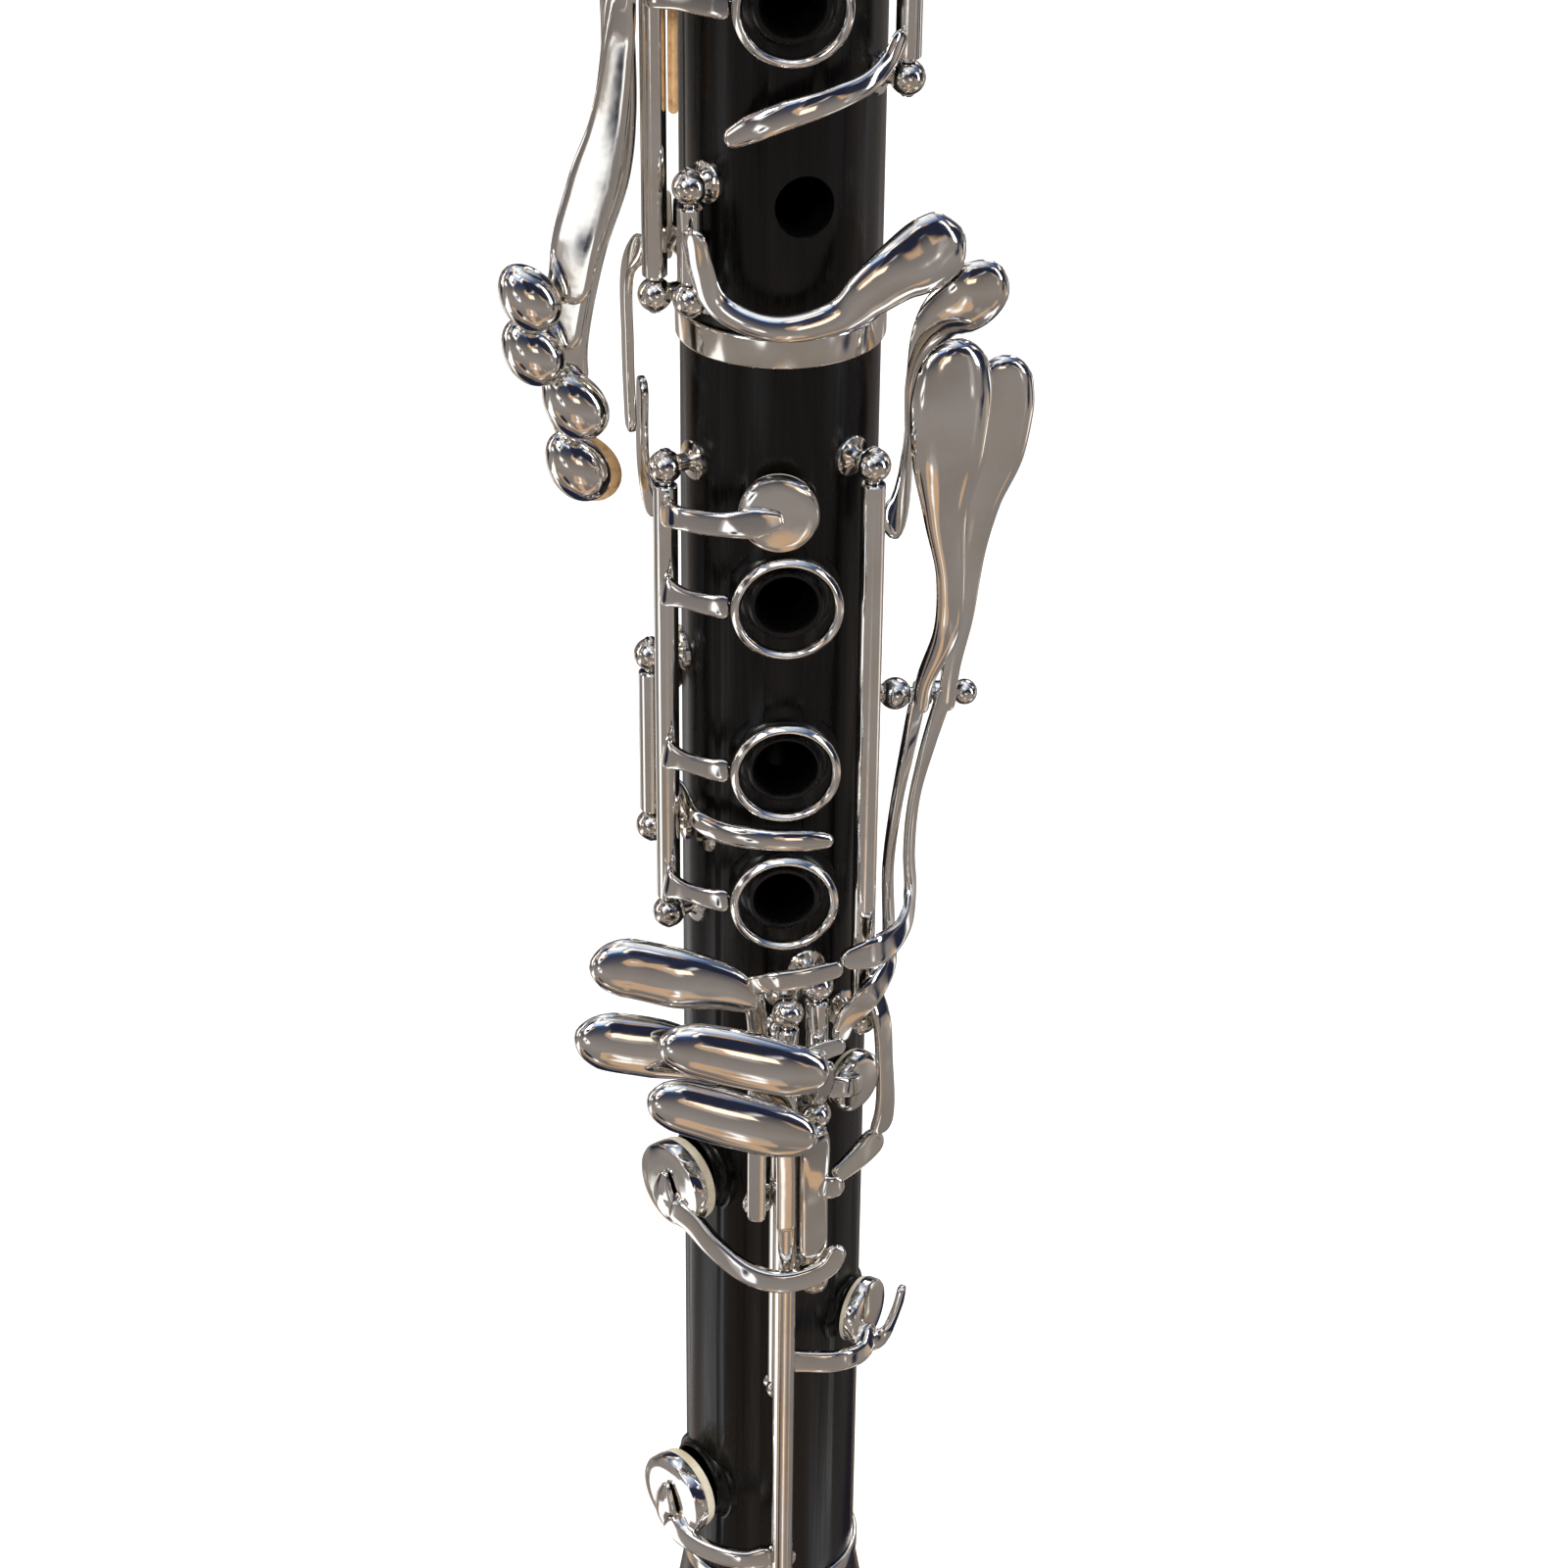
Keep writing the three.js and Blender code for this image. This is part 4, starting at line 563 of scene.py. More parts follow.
def right_f_sharp_key():
    line = F_SHARP
    bend = -11  # the spine stands beside the tube above it
    whole, _ = hinge_tube(line, *between(*line.posts, SMALL_BALL_R), SLIM_TUBE_R)
    bore = tube(at(line.lift, line.phi, 140), at(line.lift, line.phi, 222), 0.95, 20, 0.01)
    foot = strap([
        (line.lift, -4, 186, 5), (3.2, -10.6, 186, 4.6), (6.9, bend, 186, 4.6),
    ], 1.5)
    spine = strap([
        (6.8, bend, 184, 2.8), (6.8, bend, 205, 2.8), (6.8, -11.5, 222, 3), (7.9, -14, 227, 4),
    ], 1.4)
    touch = strap([
        (7.7, -10, 224.6, 4, -12), (9, -23, 227.4, 7.6, -12), (12.8, -37.5, 229.6, 9.6, -14),
        (17, -48, 231.2, 9.4, -16), (21.6, -53.8, 232, 5, -18),
    ], [2.2, 3.4, 4.6, 4.6, 3], "bean")
    pad_arm = strap([
        (line.lift + 0.3, 2, 153.5, 4.6), (3, 12, 153.4, 3.6), (5, 30, 153, 3.4), (5.2, 46, 152.6, 3.2),
        (SHUT + 3.3, 57, 155, 4),
    ], 1.5)
    tip = strap([
        (5, 50, 152.6, 3), (6, 60, 153, 3.4), (7.6, 64, 158, 3), (8.2, 65, 162, 1.6),
    ], 1.2)
    lever_tab = strap([
        (7.9, -14, 227.6, 3.4), (9.9, -6, 229.8, 3), (10.4, 6, 230.8, 3), (10.2, 20, 231.4, 2.4),
    ], 1.2)
    shapes = [whole, foot, spine, touch, pad_arm, tip, lever_tab, disc(57, 157, cup(SHUT, 5.6))]
    key("right_f_sharp_key", shapes, [bore], pad=("right_f_sharp_pad", disc(57, 157, pad_profile(SHUT, 5.5))))


def right_f_c_key():
    line = F_C
    top = line.lift + TUBE_R
    spine = strap([
        (top + 0.4, 13, 177, 4.4), (top + 0.4, 12.6, 190, 4.4), (9.5, 11, 200, 4.8), (11.9, 8, 204, 5),
    ], 1.7)
    touch = strap([
        (11.9, 10, 202.6, 5.6, 0), (12.2, -4, 205, 8.6, -4), (13.4, -18, 207.4, 9.2, -6),
        (16, -31, 209.8, 8.8, -8), (18.8, -39, 211.4, 4.8, -10),
    ], [2.8, 4, 4.6, 4.4, 3], "bean")
    pad_arm = strap([
        (8.8, 23, 179.4, 3.0), (9.1, 18, 176.4, 3.4), (9.3, 8, 175, 3.4), (9.6, -2, 174.8, 3.4),
        (9.2, -14, 176, 3.4), (8.2, -28, 179, 3.4), (OPEN + 5, -40, 181.8, 3.8),
        (OPEN + 5.4, -50, 183, 4.4),
    ], [1.2, 1.8, 2, 2, 2, 1.9, 1.7, 1.5])
    lever_tab = strap([
        (top + 0.6, 14, 191, 4), (8.9, 18, 191, 3.6), (8.9, 24, 191, 2.8),
    ], 1.1)
    little_key(line, [spine, touch, pad_arm, lever_tab], F_C_CUP, (-46, 181.6), "right_f_c_pad")


def right_a_flat_key():
    line = F_C
    spine = strap([
        (line.lift + TUBE_R + 0.3, 14, 207, 3.4), (9.4, 14, 211, 3.4), (11.9, 12, 216, 4),
    ], 1.5)
    touch = strap([
        (11.9, 14, 213.9, 5.6, 4), (12.2, 1, 215.9, 8.4, 0), (12.9, -14, 218, 9.2, -4),
        (15, -27, 219.8, 8.6, -8), (17.8, -36.4, 221, 4.6, -10),
    ], [2.8, 4, 4.6, 4.4, 3], "bean")
    pad_arm = strap([
        (line.lift - 0.4, 19, 207, 3.6), (5.4, 30, 206, 3.2), (SHUT + 3.4, 42, 204.6, 3.4),
    ], 1.3)
    hinged(line, [spine, touch, pad_arm], (43, 204, 4.9), "right_a_flat_pad", "right_a_flat_key",
           line.posts[1:])


# ---- levers for the left little finger ----
def spot(x, y, z, width, face=None):
    """A strap station from X and Y."""
    phi = math.degrees(math.atan2(x, -y))
    return math.hypot(x, y) - BODY_R, phi, z, width, phi if face is None else face


def left_f_c_lever():
    line = LEFT_F_C
    touch = strap([
        (line.lift + 1, 46, 297, 9, 50), (5, 58, 300, 6, 62), (4.6, 70, 308, 5, 72), (5, 75, 317, 6.4, 62),
        (8, 75.5, 325, 8.4, 36), (12.6, 77, 329.4, 9.8, 22), (15.8, 79, 333.8, 6.6, 18),
    ], [1.5, 1.5, 1.6, 1.8, 3.2, 4, 2.6], "bean")
    drop = strap([
        (line.lift + 1.5, 41, 223, 3.4), (8, 42, 218.6, 3.2), (8.3, 44, 210, 3.2), (8, 46, 201, 4),
        (7.4, 45, 196, 5),
    ], 1.3)
    hand = strap([
        (7.4, 46, 196, 5), (7, 34, 193.4, 4), (6.9, 22, 191, 2.6),
    ], 1.3)
    hinged(line, [touch, drop, hand])


PIVOT_LENGTH = 10.2
LEVER_BEARING = 2.6


def long_lever(line, start, *shapes):
    """A lever that rocks on the rod standing out sideways from its post."""
    pivot = Vector((0, line.spot.y, line.z))
    low, high = pivot + Vector((start, 0, 0)), pivot + Vector((start + LEVER_BEARING, 0, 0))
    whole = tube(low, high, TUBE_R)
    out = Vector((1, 0, 0))
    key(line.key, [whole, *shapes], [tube(low - out, high + out, ROD_R + 0.25, 20, 0.01)])


PIVOT_FOOT = (BODY_R + 3.3) * math.sin(math.radians(80))


def left_e_b_lever():
    touch = strap([
        spot(20.5, -5.4, 264, 2.4, 0), spot(21, -6.6, 270, 2.8, 0), spot(23.6, -8.6, 279, 4, 8),
        spot(23.8, -9.4, 288, 4.4, 12), spot(22.8, -9.6, 298, 6.8, 15), spot(22.9, -9.6, 307, 11, 15),
        spot(23.1, -9.4, 315, 12.2, 15), spot(23.4, -9.2, 324.4, 8.2, 15),
    ], [1.6, 1.6, 1.7, 1.8, 2.8, 4.4, 4.8, 3.2], "bean")
    hand = strap([
        spot(20.5, -5, 268, 2.4, 0), spot(18.6, -7.4, 259, 2.4, 40), spot(17, -8.6, 250, 2.2, 56),
        spot(16, -9.4, 240, 2.2, 60), spot(16.2, -10.4, 231, 2.4, 60), spot(15.8, -14.6, 226.4, 3.2),
        spot(12.6, -18.4, 223.4, 4.4), spot(9.4, -19, 219.6, 3.6), spot(8.3, -18.6, 215.6, 2.4),
    ], 1.3)
    long_lever(LONG_LEVERS[0], PIVOT_FOOT + BALL_R + RUNNING_GAP, touch, hand)


def left_f_sharp_lever():
    touch = strap([
        spot(24.4, -5, 264, 2.4, 0), spot(24.8, -5.2, 271, 2.8, 0), spot(26, -5, 280, 4, 4),
        spot(27, -4.6, 288, 4.2, 8), spot(28.2, -4.2, 297, 6.2, 10), spot(29.8, -3.8, 305, 9.6, 10),
        spot(30.4, -3.6, 311, 10.4, 10), spot(31.4, -3.6, 319.4, 7, 10),
    ], [1.6, 1.6, 1.7, 1.8, 2.6, 3.2, 3.4, 2.6], "bean")
    hand = strap([
        spot(24.4, -5, 268, 2.4, 0), spot(21.8, -6, 259, 2.4, 40), spot(19.8, -7, 250, 2.2, 60),
        spot(19.2, -8.2, 242, 2.2, 60), spot(19.4, -9.4, 236, 2.4, 60), spot(18.2, -13.6, 232.8, 3.2),
        spot(14, -18.6, 231.6, 4.8), spot(8.2, -21, 231.4, 2.8),
    ], 1.3)
    long_lever(LONG_LEVERS[1], PIVOT_FOOT + BALL_R + LEVER_BEARING + 2 * RUNNING_GAP, touch, hand)


# ---- keys of the upper joint ----
def first_ring_key():
    line = UPPER_STACK
    pad_arm = strap([
        (line.lift + 0.9, line.phi + 3, 415, 4.2), (6, -46, 416, 3), (OPEN + 3.2, -22, 417, 3),
        (OPEN + 3.1, -2, 417, 3.2),
    ], 1.3)
    hinged(line, [pad_arm], (-2, 417, 4.9), "first_ring_skin", "first_ring_key", line.posts[1:], (394,),
           swing=line.swing)


def second_ring_key():
    line = UPPER_STACK
    bridge = strap([
        (line.lift + 0.8, -72, 338, 5), (7.4, -79, 334, 4.6), (7.6, -80.5, 322, 4.6),
        (7.3, -80.5, 309, 4.2),
    ], 1.2)
    hinged(line, [bridge], posts=line.posts[:2], rings=(373.7,))


def thumb_ring_key():
    hinged(THUMB_RING, [], rings=(411,), ring_phi=-180, ring_side=-1)


def c_sharp_key():
    line = C_SHARP
    arm = strap([
        (line.lift + 2.4, line.phi + 8, 343, 4.4), (line.lift + 1.4, line.phi + 10, 337.5, 4.4),
        (3.6, -34, 332.6, 3.8), (3.2, -18, 330.2, 3.6), (3.3, -2, 329.6, 3.8), (3.8, 22, 331, 5),
        (4.8, 35, 333.8, 7.6, 36), (6.4, 47, 336.4, 9.4, 42), (8.4, 57, 338, 10.8, 44),
        (10.4, 63, 339.4, 9.8, 44), (12, 66, 340.4, 6, 42),
    ], [1.4, 1.6, 1.8, 2, 2, 2.2, 3.2, 4.2, 4.4, 3.8, 2.4], "bean")
    pad_arm = strap([
        (line.lift - 0.7, -52, 338, 4), (1.75, -62, 338, 3.4), (1.8, -74, 338, 3.4),
        (SHUT + 1.4, -84, 338, 4),
    ], 1.3)
    hinged(line, [arm, pad_arm], (-90, 338, 4.8), "c_sharp_skin")


def upper_sliver_key():
    line = UPPER_SLIVER
    touch = strap([
        (3, -30, 355, 2.6), (3.2, -15, 357.6, 3.8), (3.2, 0, 359.5, 3.8), (3.2, 18, 361, 3.4),
        (3.3, 36, 362.4, 3), (3.4, 48, 364.4, 3), (line.lift, 57, 368, 4),
    ], [1.3, 1.6, 1.6, 1.5, 1.4, 1.3, 1.3], "spoon")
    pad_arm = strap([
        (line.lift, 66, 388, 4), (5, 80, 388, 3), (4.3, 96, 388, 3.4),
    ], 1.3)
    hinged(line, [touch, pad_arm], (97, 388, 4.7), "upper_sliver_skin")


def throat_g_sharp_key():
    line = THROAT_G_SHARP
    touch = strap([
        (line.lift + 0.8, line.phi - 4, 430, 4.6), (6.4, 30, 428, 5), (6.8, 18, 427.4, 6.4),
        (6.8, 8, 428, 4.6),
    ], 1.7, "spoon")
    pad_arm = strap([
        (line.lift + 0.6, line.phi + 4, 445, 4), (5.2, 60, 446, 3), (4.3, 74, 446, 3.4),
    ], 1.3)
    hinged(line, [touch, pad_arm], (75, 446, 4.5), "throat_g_sharp_skin")


def cross_tube(line, low, high):
    """A hinge tube that lies across the body, with its bore."""
    along = around(line.phi)
    middle = facing(line.phi) * (BODY_R + line.lift) + Vector((0, 0, line.z))
    whole = tube(middle + along * low, middle + along * high, TUBE_R)
    bore = tube(middle + along * (low - 1), middle + along * (high + 1), ROD_R + 0.25, 20, 0.01)
    return whole, bore


THROAT_A_REACH = 5.5
REGISTER_REACH = 6.0
CROSS_HEAD = 2.1


def throat_a_key():
    half = THROAT_A_REACH - CROSS_HEAD - RUNNING_GAP
    whole, bore = cross_tube(THROAT_A, -half, half)
    lever = strap([
        (7, 8, 436, 5.4), (7, 8, 443, 7.4), (THROAT_A.lift + 1.6, 8, 452, 4),
        (THROAT_A.lift + 1.7, 8, 460, 4), (4.4, 8, 474, 3.6),
    ], 1.6, "spoon")
    key("throat_a_key", [whole, lever, disc(8, 474, cup(SHUT, 4.5))], [bore],
        pad=("throat_a_skin", disc(8, 474, pad_profile(SHUT, 4.4))))


REGISTER_SEAT = 1.6


def register_key():
    half = REGISTER_REACH - CROSS_HEAD - RUNNING_GAP
    whole, bore = cross_tube(REGISTER, -half, half)
    lever = strap([
        (5.4, 176, 424.5, 6.4), (5.6, 178, 432, 8.4), (REGISTER.lift + 1.4, 180, 446, 4.8),
        (REGISTER.lift + 1.7, 180, 462, 4.2), (REGISTER.lift + 1.6, 180, 485, 3.6),
        (REGISTER_SEAT + 3.2, 180, 506, 4.4),
    ], 1.7, "spoon")
    seat = REGISTER_SEAT + RUNNING_GAP
    key("register_key", [whole, lever, disc(180, 508, cup(seat, 3.9))], [bore],
        pad=("register_pad", disc(180, 508, pad_profile(seat, 3.8))))


# ---- side keys ----
SIDE_PHI = -79
SIDE_PITCH = 3.8
SIDE_LIFT = 8.6
SIDE_HEIGHT = 385.5
SIDE_REACH = 10.4
SIDE_FACE = -15  # the way the lower part of a side lever faces
EGG_DEPTH = 3.0
EGG_FORWARD = 1.4
EGG_TURN = math.radians(33)
# Each side key: its place along the shared rod; its pad; its lever as (distance out, height, width) from the
# rod down; and its egg-shaped touch as (distance out, height, half its width, half its height).
SIDE_KEYS = (
    (1.5, (-59, 478),
     ((23.6, 366, 4), (25.2, 356, 5.2), (27.4, 348, 6.8), (29.8, 340, 6.6), (31, 331.4, 5.6)),
     (36.4, 333.4, 3.8, 5.2)),
    (0.5, (-82, 462),
     ((23, 366, 4), (24, 356, 5), (26.2, 347, 6), (28.6, 339, 6.2), (30.4, 331, 6), (31.4, 323.4, 5.2)),
     (35.4, 324, 3.9, 5.3)),
    (-0.5, (-99, 446),
     ((21.8, 368, 3.8), (21.8, 354, 4.2), (23, 346, 4.6), (26.6, 336, 5), (29.2, 322, 4.6), (28.8, 316, 4)),
     (29, 314, 4.1, 5.8)),
    (-1.5, (-115, 430),
     ((21.6, 368, 3.8), (22, 352, 4.2), (24.4, 342, 4.4), (29, 326, 4.6), (30, 312, 4.4), (28, 305, 4)),
     (28, 302.8, 4.1, 5.8)),
)


def beside(out, across, z, width, face=SIDE_PHI):
    """A strap station beside the side keys' rod."""
    place = facing(SIDE_PHI) * out + around(SIDE_PHI) * across
    return spot(place.x, place.y, z, width, face)


def egg(centre, half_width, half_height):
    """A side key's touch: an egg lying on its lever, its upper end turned outwards."""
    points, faces = ball(Vector((0, 0, 0)), 1, 40 if FINE else 20)
    c, s = math.cos(EGG_TURN), math.sin(EGG_TURN)
    placed = []
    for p in points:
        x, y, z = p.x * half_width * (1 - 0.12 * p.z), p.y * EGG_DEPTH, p.z * half_height
        placed.append(centre + Vector((x * c - z * s, y - EGG_FORWARD, x * s + z * c)))
    return placed, faces


def side_key(number, slot, pad, lever, touch):
    across = slot * SIDE_PITCH
    half = SIDE_PITCH / 2 - RUNNING_GAP
    level = BODY_R + SIDE_LIFT
    line = SIDE_LINES[number - 1]
    middle = facing(SIDE_PHI) * level + Vector((0, 0, line.z))
    along = around(SIDE_PHI)
    low, high = middle + along * (across - half), middle + along * (across + half)
    arm = strap([
        (SHUT + 3, *pad, 3.2),
        beside(level, across, min(line.z + 40, pad[1] - 20), 3),
        beside(level, across, line.z, 3.2),
        beside(level, across, 376, 3.4, -60),
        *(beside(out, across, z, width, SIDE_FACE) for out, z, width in lever),
    ], [1.4, 1.5, 1.5, *[1.5] * (len(lever) + 1)])
    out, z, half_width, half_height = touch
    centre = facing(SIDE_PHI) * out + around(SIDE_PHI) * across + Vector((0, 0, z))
    shapes = [tube(low, high, TUBE_R), arm, disc(*pad, cup(SHUT, 4.4)), egg(centre, half_width, half_height)]
    bore = tube(low - along, high + along, ROD_R + 0.25, 20, 0.01)
    name = f"side_key_{number}"
    key(name, shapes, [bore], pad=(name + "_skin", disc(*pad, pad_profile(SHUT, 4.3))))


# ---- rods that carry the keys ----
def cross_rod(phi, lift, z, reach, head=CROSS_HEAD):
    along = around(phi)
    middle = facing(phi) * (BODY_R + lift) + Vector((0, 0, z))
    low, high = middle - along * reach, middle + along * reach
    shapes = [tube(low - along * (head + 0.1), high + along * (head + 0.1), ROD_R)]
    for end in (low, high):
        turn = math.degrees(math.atan2(end.x, -end.y))
        shapes.append(post(math.hypot(end.x, end.y) - BODY_R, turn, z, head))
    return shapes, []


def spring_screw(phi, z):
    """A small slotted screw set in the wood."""
    head = disc(phi, z, [(0, -0.5), (2.1, -0.5), (2.1, 0.45), (1.85, 0.7), (0, 0.75)])
    side = around(phi) * 2.4 + Vector((0, 0, 1.2))
    middle = at(0.85, phi, z)
    return [head], [tube(middle - side, middle + side, 0.32, 8, 0.01)]


def pivot_rod():
    line = LONG_LEVERS[0]
    foot = Vector((PIVOT_FOOT, line.spot.y, line.z))
    end = foot + Vector((PIVOT_LENGTH, 0, 0))
    return [tube(foot, end, ROD_R), post(3.3, 80, line.z), ball(end, 1.9)], []


# ---- wooden joints: lathe profiles of (radius, height) ----
TENON_R = BORE_R + 3
CORK_R = TENON_R + 1
SOCKET_R = CORK_R + RUNNING_GAP
TENON = 17.0
SOCKET_DEPTH = TENON + RUNNING_GAP
RING_SEAT_R = BODY_R + RING_PROUD - 1.2
RING_HEIGHT = 4.5
# Tone holes: angle, height, hole radius, chimney radius, chimney lift.
LOWER_HOLES = (
    (0, 287.9, 4, *CHIMNEY),
    (0, 261.6, 4.2, *CHIMNEY),
    (0, 239.7, 4, *CHIMNEY),
    (-2.6, 302.5, 2.8, 4.4, SEAT_LIFT),
    (-112, 268, 2.5, 3.7, SEAT_LIFT),
    (43, 204, 3, 4, SEAT_LIFT),
    (*F_C_CUP, 5, 6.2, SEAT_LIFT),
    (57, 157, 4.2, 5.2, SEAT_LIFT),
    (*E_B_CUP, 5.4, 6.4, SEAT_LIFT),
)
UPPER_HOLES = (
    (9, 345.3, 3.9, 5, 0.0),
    (0, 373.7, 3.9, *CHIMNEY),
    (0, 394, 3.6, *CHIMNEY),
    (180, 411, 3.6, *CHIMNEY),
    (-90, 338, 2.6, 3.7, SEAT_LIFT),
    (97, 388, 2.4, 3.6, SEAT_LIFT),
    (-2, 417, 2.4, 3.6, SEAT_LIFT),
    (75, 446, 2.3, 3.5, SEAT_LIFT),
    (8, 474, 2.3, 3.5, SEAT_LIFT),
    *((*pad, 2.3, 3.5, SEAT_LIFT) for _, pad, *_ in SIDE_KEYS),
    (180, 508, 1.6, 2.8, REGISTER_SEAT),
)
BODY_SIDES = 128 if FINE else 64


def chimney(phi, z, radius, lift):
    """Wood left standing round a tone hole, with a hollow curve where it meets the body."""
    flare = 2.6 if lift > 2 else 1.2
    steps = 8
    turns = [math.pi / 2 * k / steps for k in range(steps + 1)]
    foot = [(radius + flare * (1 - math.sin(t)), -0.9 + (lift + 0.5) * (1 - math.cos(t))) for t in turns]
    lip = [(radius, lift - 0.3), (radius - 0.3, lift), (0, lift)]
    return disc(phi, z, [(0, -2.5), (radius + flare, -2.5), *foot, *lip], 64)


def drill(phi, z, radius, lift):
    """A tone hole with a countersunk mouth and an undercut inside."""
    top = max(lift, 0)
    wide = radius + 0.5
    inside = [(0, -13), (wide, -13), (wide, -BODY_R + BORE_R + 1.5), (radius, -BODY_R + BORE_R + 3.2)]
    mouth = [(radius, top - 1.1), (radius + 0.25, top - 0.35), (radius + 0.55, top + 0.05)]
    return disc(phi, z, [*inside, *mouth, (radius + 0.7, top + 2), (0, top + 2)], 64)


def joint(low, high, top):
    """A joint with a tenon below and, above it, a socket or a second tenon."""
    wall = [(TENON_R, low - TENON), (TENON_R, low + 0.05), (BODY_R, low + 0.05)]
    seat = RING_SEAT_R - 0.1
    socket = [(BODY_R, high - RING_HEIGHT), (seat, high - RING_HEIGHT), (seat, high - 0.1),
              (SOCKET_R, high - 0.1), (SOCKET_R, high - SOCKET_DEPTH), (BORE_R, high - SOCKET_DEPTH)]
    tenon = [(BODY_R, high - 0.05), (TENON_R, high - 0.05), (TENON_R, high + TENON), (BORE_R, high + TENON)]
    return rounded([*wall, *(socket if top == "socket" else tenon), (BORE_R, low - TENON)], 0.3)


def cork_sleeve(low, high):
    inset = 2.5
    return lathe(rounded([(TENON_R - 0.05, low + inset), (CORK_R, low + inset), (CORK_R, high - inset),
                          (TENON_R - 0.05, high - inset)], 0.4), sides=96)


def body_ring(low, height=RING_HEIGHT):
    """A socket ring: a plain band with its edges broken."""
    high = low + height
    face = BODY_R + RING_PROUD
    band = [(face - 0.25, low), (face, low + 0.25), (face, high - 0.25), (face - 0.25, high)]
    return lathe(rounded([(RING_SEAT_R, low), *band, (RING_SEAT_R, high)], 0.15), sides=BODY_SIDES)


def barrel():
    low, high = BARREL_BASE, MOUTHPIECE_BASE
    seat = RING_SEAT_R - 0.1
    swell = []
    steps = 14
    for k in range(steps + 1):
        share = k / steps
        z = low + RING_HEIGHT + (high - low - 2 * RING_HEIGHT) * share
        swell.append((BODY_R + 0.4 * (1 - share) + 1.1 * math.sin(math.pi * share) ** 1.2, z))
    return lathe([
        (SOCKET_R, low + 0.1), (seat, low + 0.1), (seat, low + RING_HEIGHT), *swell,
        (seat, high - RING_HEIGHT), (seat, high - 0.1), (SOCKET_R, high - 0.1),
        (SOCKET_R, high - SOCKET_DEPTH), (BORE_R, high - SOCKET_DEPTH), (BORE_R, low + SOCKET_DEPTH),
        (SOCKET_R, low + SOCKET_DEPTH),
    ], sides=BODY_SIDES)


BELL_RIM_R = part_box("bell_rim_ring")[1].x / MM
BELL_WAIST_R = 16.5
BELL_WALL = 3.2
RIM_HEIGHT = 3.6
BELL_RING_HEIGHT = 3.0


def bell():
    """The bell's flare grows along a curve from the waist to the rim."""
    top = LOWER_BASE
    waist = top - 20
    steps = 28

    def flare(z):
        share = (waist - z) / (waist - RIM_HEIGHT)
        return BELL_WAIST_R + (BELL_RIM_R - 0.4 - BELL_WAIST_R) * (0.35 * share + 0.65 * share**3.2)

    outside, inside = [], []
    for i in range(steps + 1):
        z = RIM_HEIGHT + (waist - RIM_HEIGHT) * i / steps
        outside.append((flare(z), z))
        inside.insert(0, (flare(z) - BELL_WALL - 4.5 * (i / steps) ** 1.5, z))
    rim = BELL_RIM_R - 1.35
    neck = [(BELL_WAIST_R - 0.05, waist + 1.5), (BELL_WAIST_R - 0.5, waist + 6), (BODY_R + 0.7, top - 6)]
    seat = top - BELL_RING_HEIGHT
    return lathe([
        (rim - BELL_WALL + 1.4, 0.5), (rim - BELL_WALL + 1.9, 0), (rim, 0), (rim, RIM_HEIGHT), *outside[1:],
        *neck, (BODY_R + 0.5, seat), (RING_SEAT_R - 0.1, seat), (RING_SEAT_R - 0.1, top - 0.1),
        (SOCKET_R, top - 0.1),
        (SOCKET_R, top - SOCKET_DEPTH), (BORE_R + 0.7, top - SOCKET_DEPTH), *inside[1:],
    ], sides=BODY_SIDES)


def rim_ring():
    inner = BELL_RIM_R - 1.3
    profile = [(inner, 0), (BELL_RIM_R - 0.5, 0), (BELL_RIM_R, 0.8), (BELL_RIM_R - 0.1, RIM_HEIGHT - 0.6),
               (BELL_RIM_R - 0.6, RIM_HEIGHT), (inner, RIM_HEIGHT)]
    return lathe(rounded(profile, 0.4, 4), sides=BODY_SIDES)


# ---- mouthpiece, reed, ligature and thumb rest ----
MOUTHPIECE_R = 13.0
MOUTHPIECE_TOP_R = 9.5
TABLE_DEPTH = 8.3
TIP_OPENING = 1.1
REED_WIDTH = 12.6
REED_HEEL = 3.0
BEAK = 34.0


def block(x0, x1, y0, y1, z0, z1):
    points = [Vector((x, y, z)) for z in (z0, z1) for x, y in ((x0, y0), (x1, y0), (x1, y1), (x0, y1))]
    return loft([points[:4], points[4:]])


def side_plate(outline, width):
    """An outline of (y, z) points given a width along X."""
    return loft([[Vector((x, y, z)) for y, z in outline] for x in (-width / 2, width / 2)])


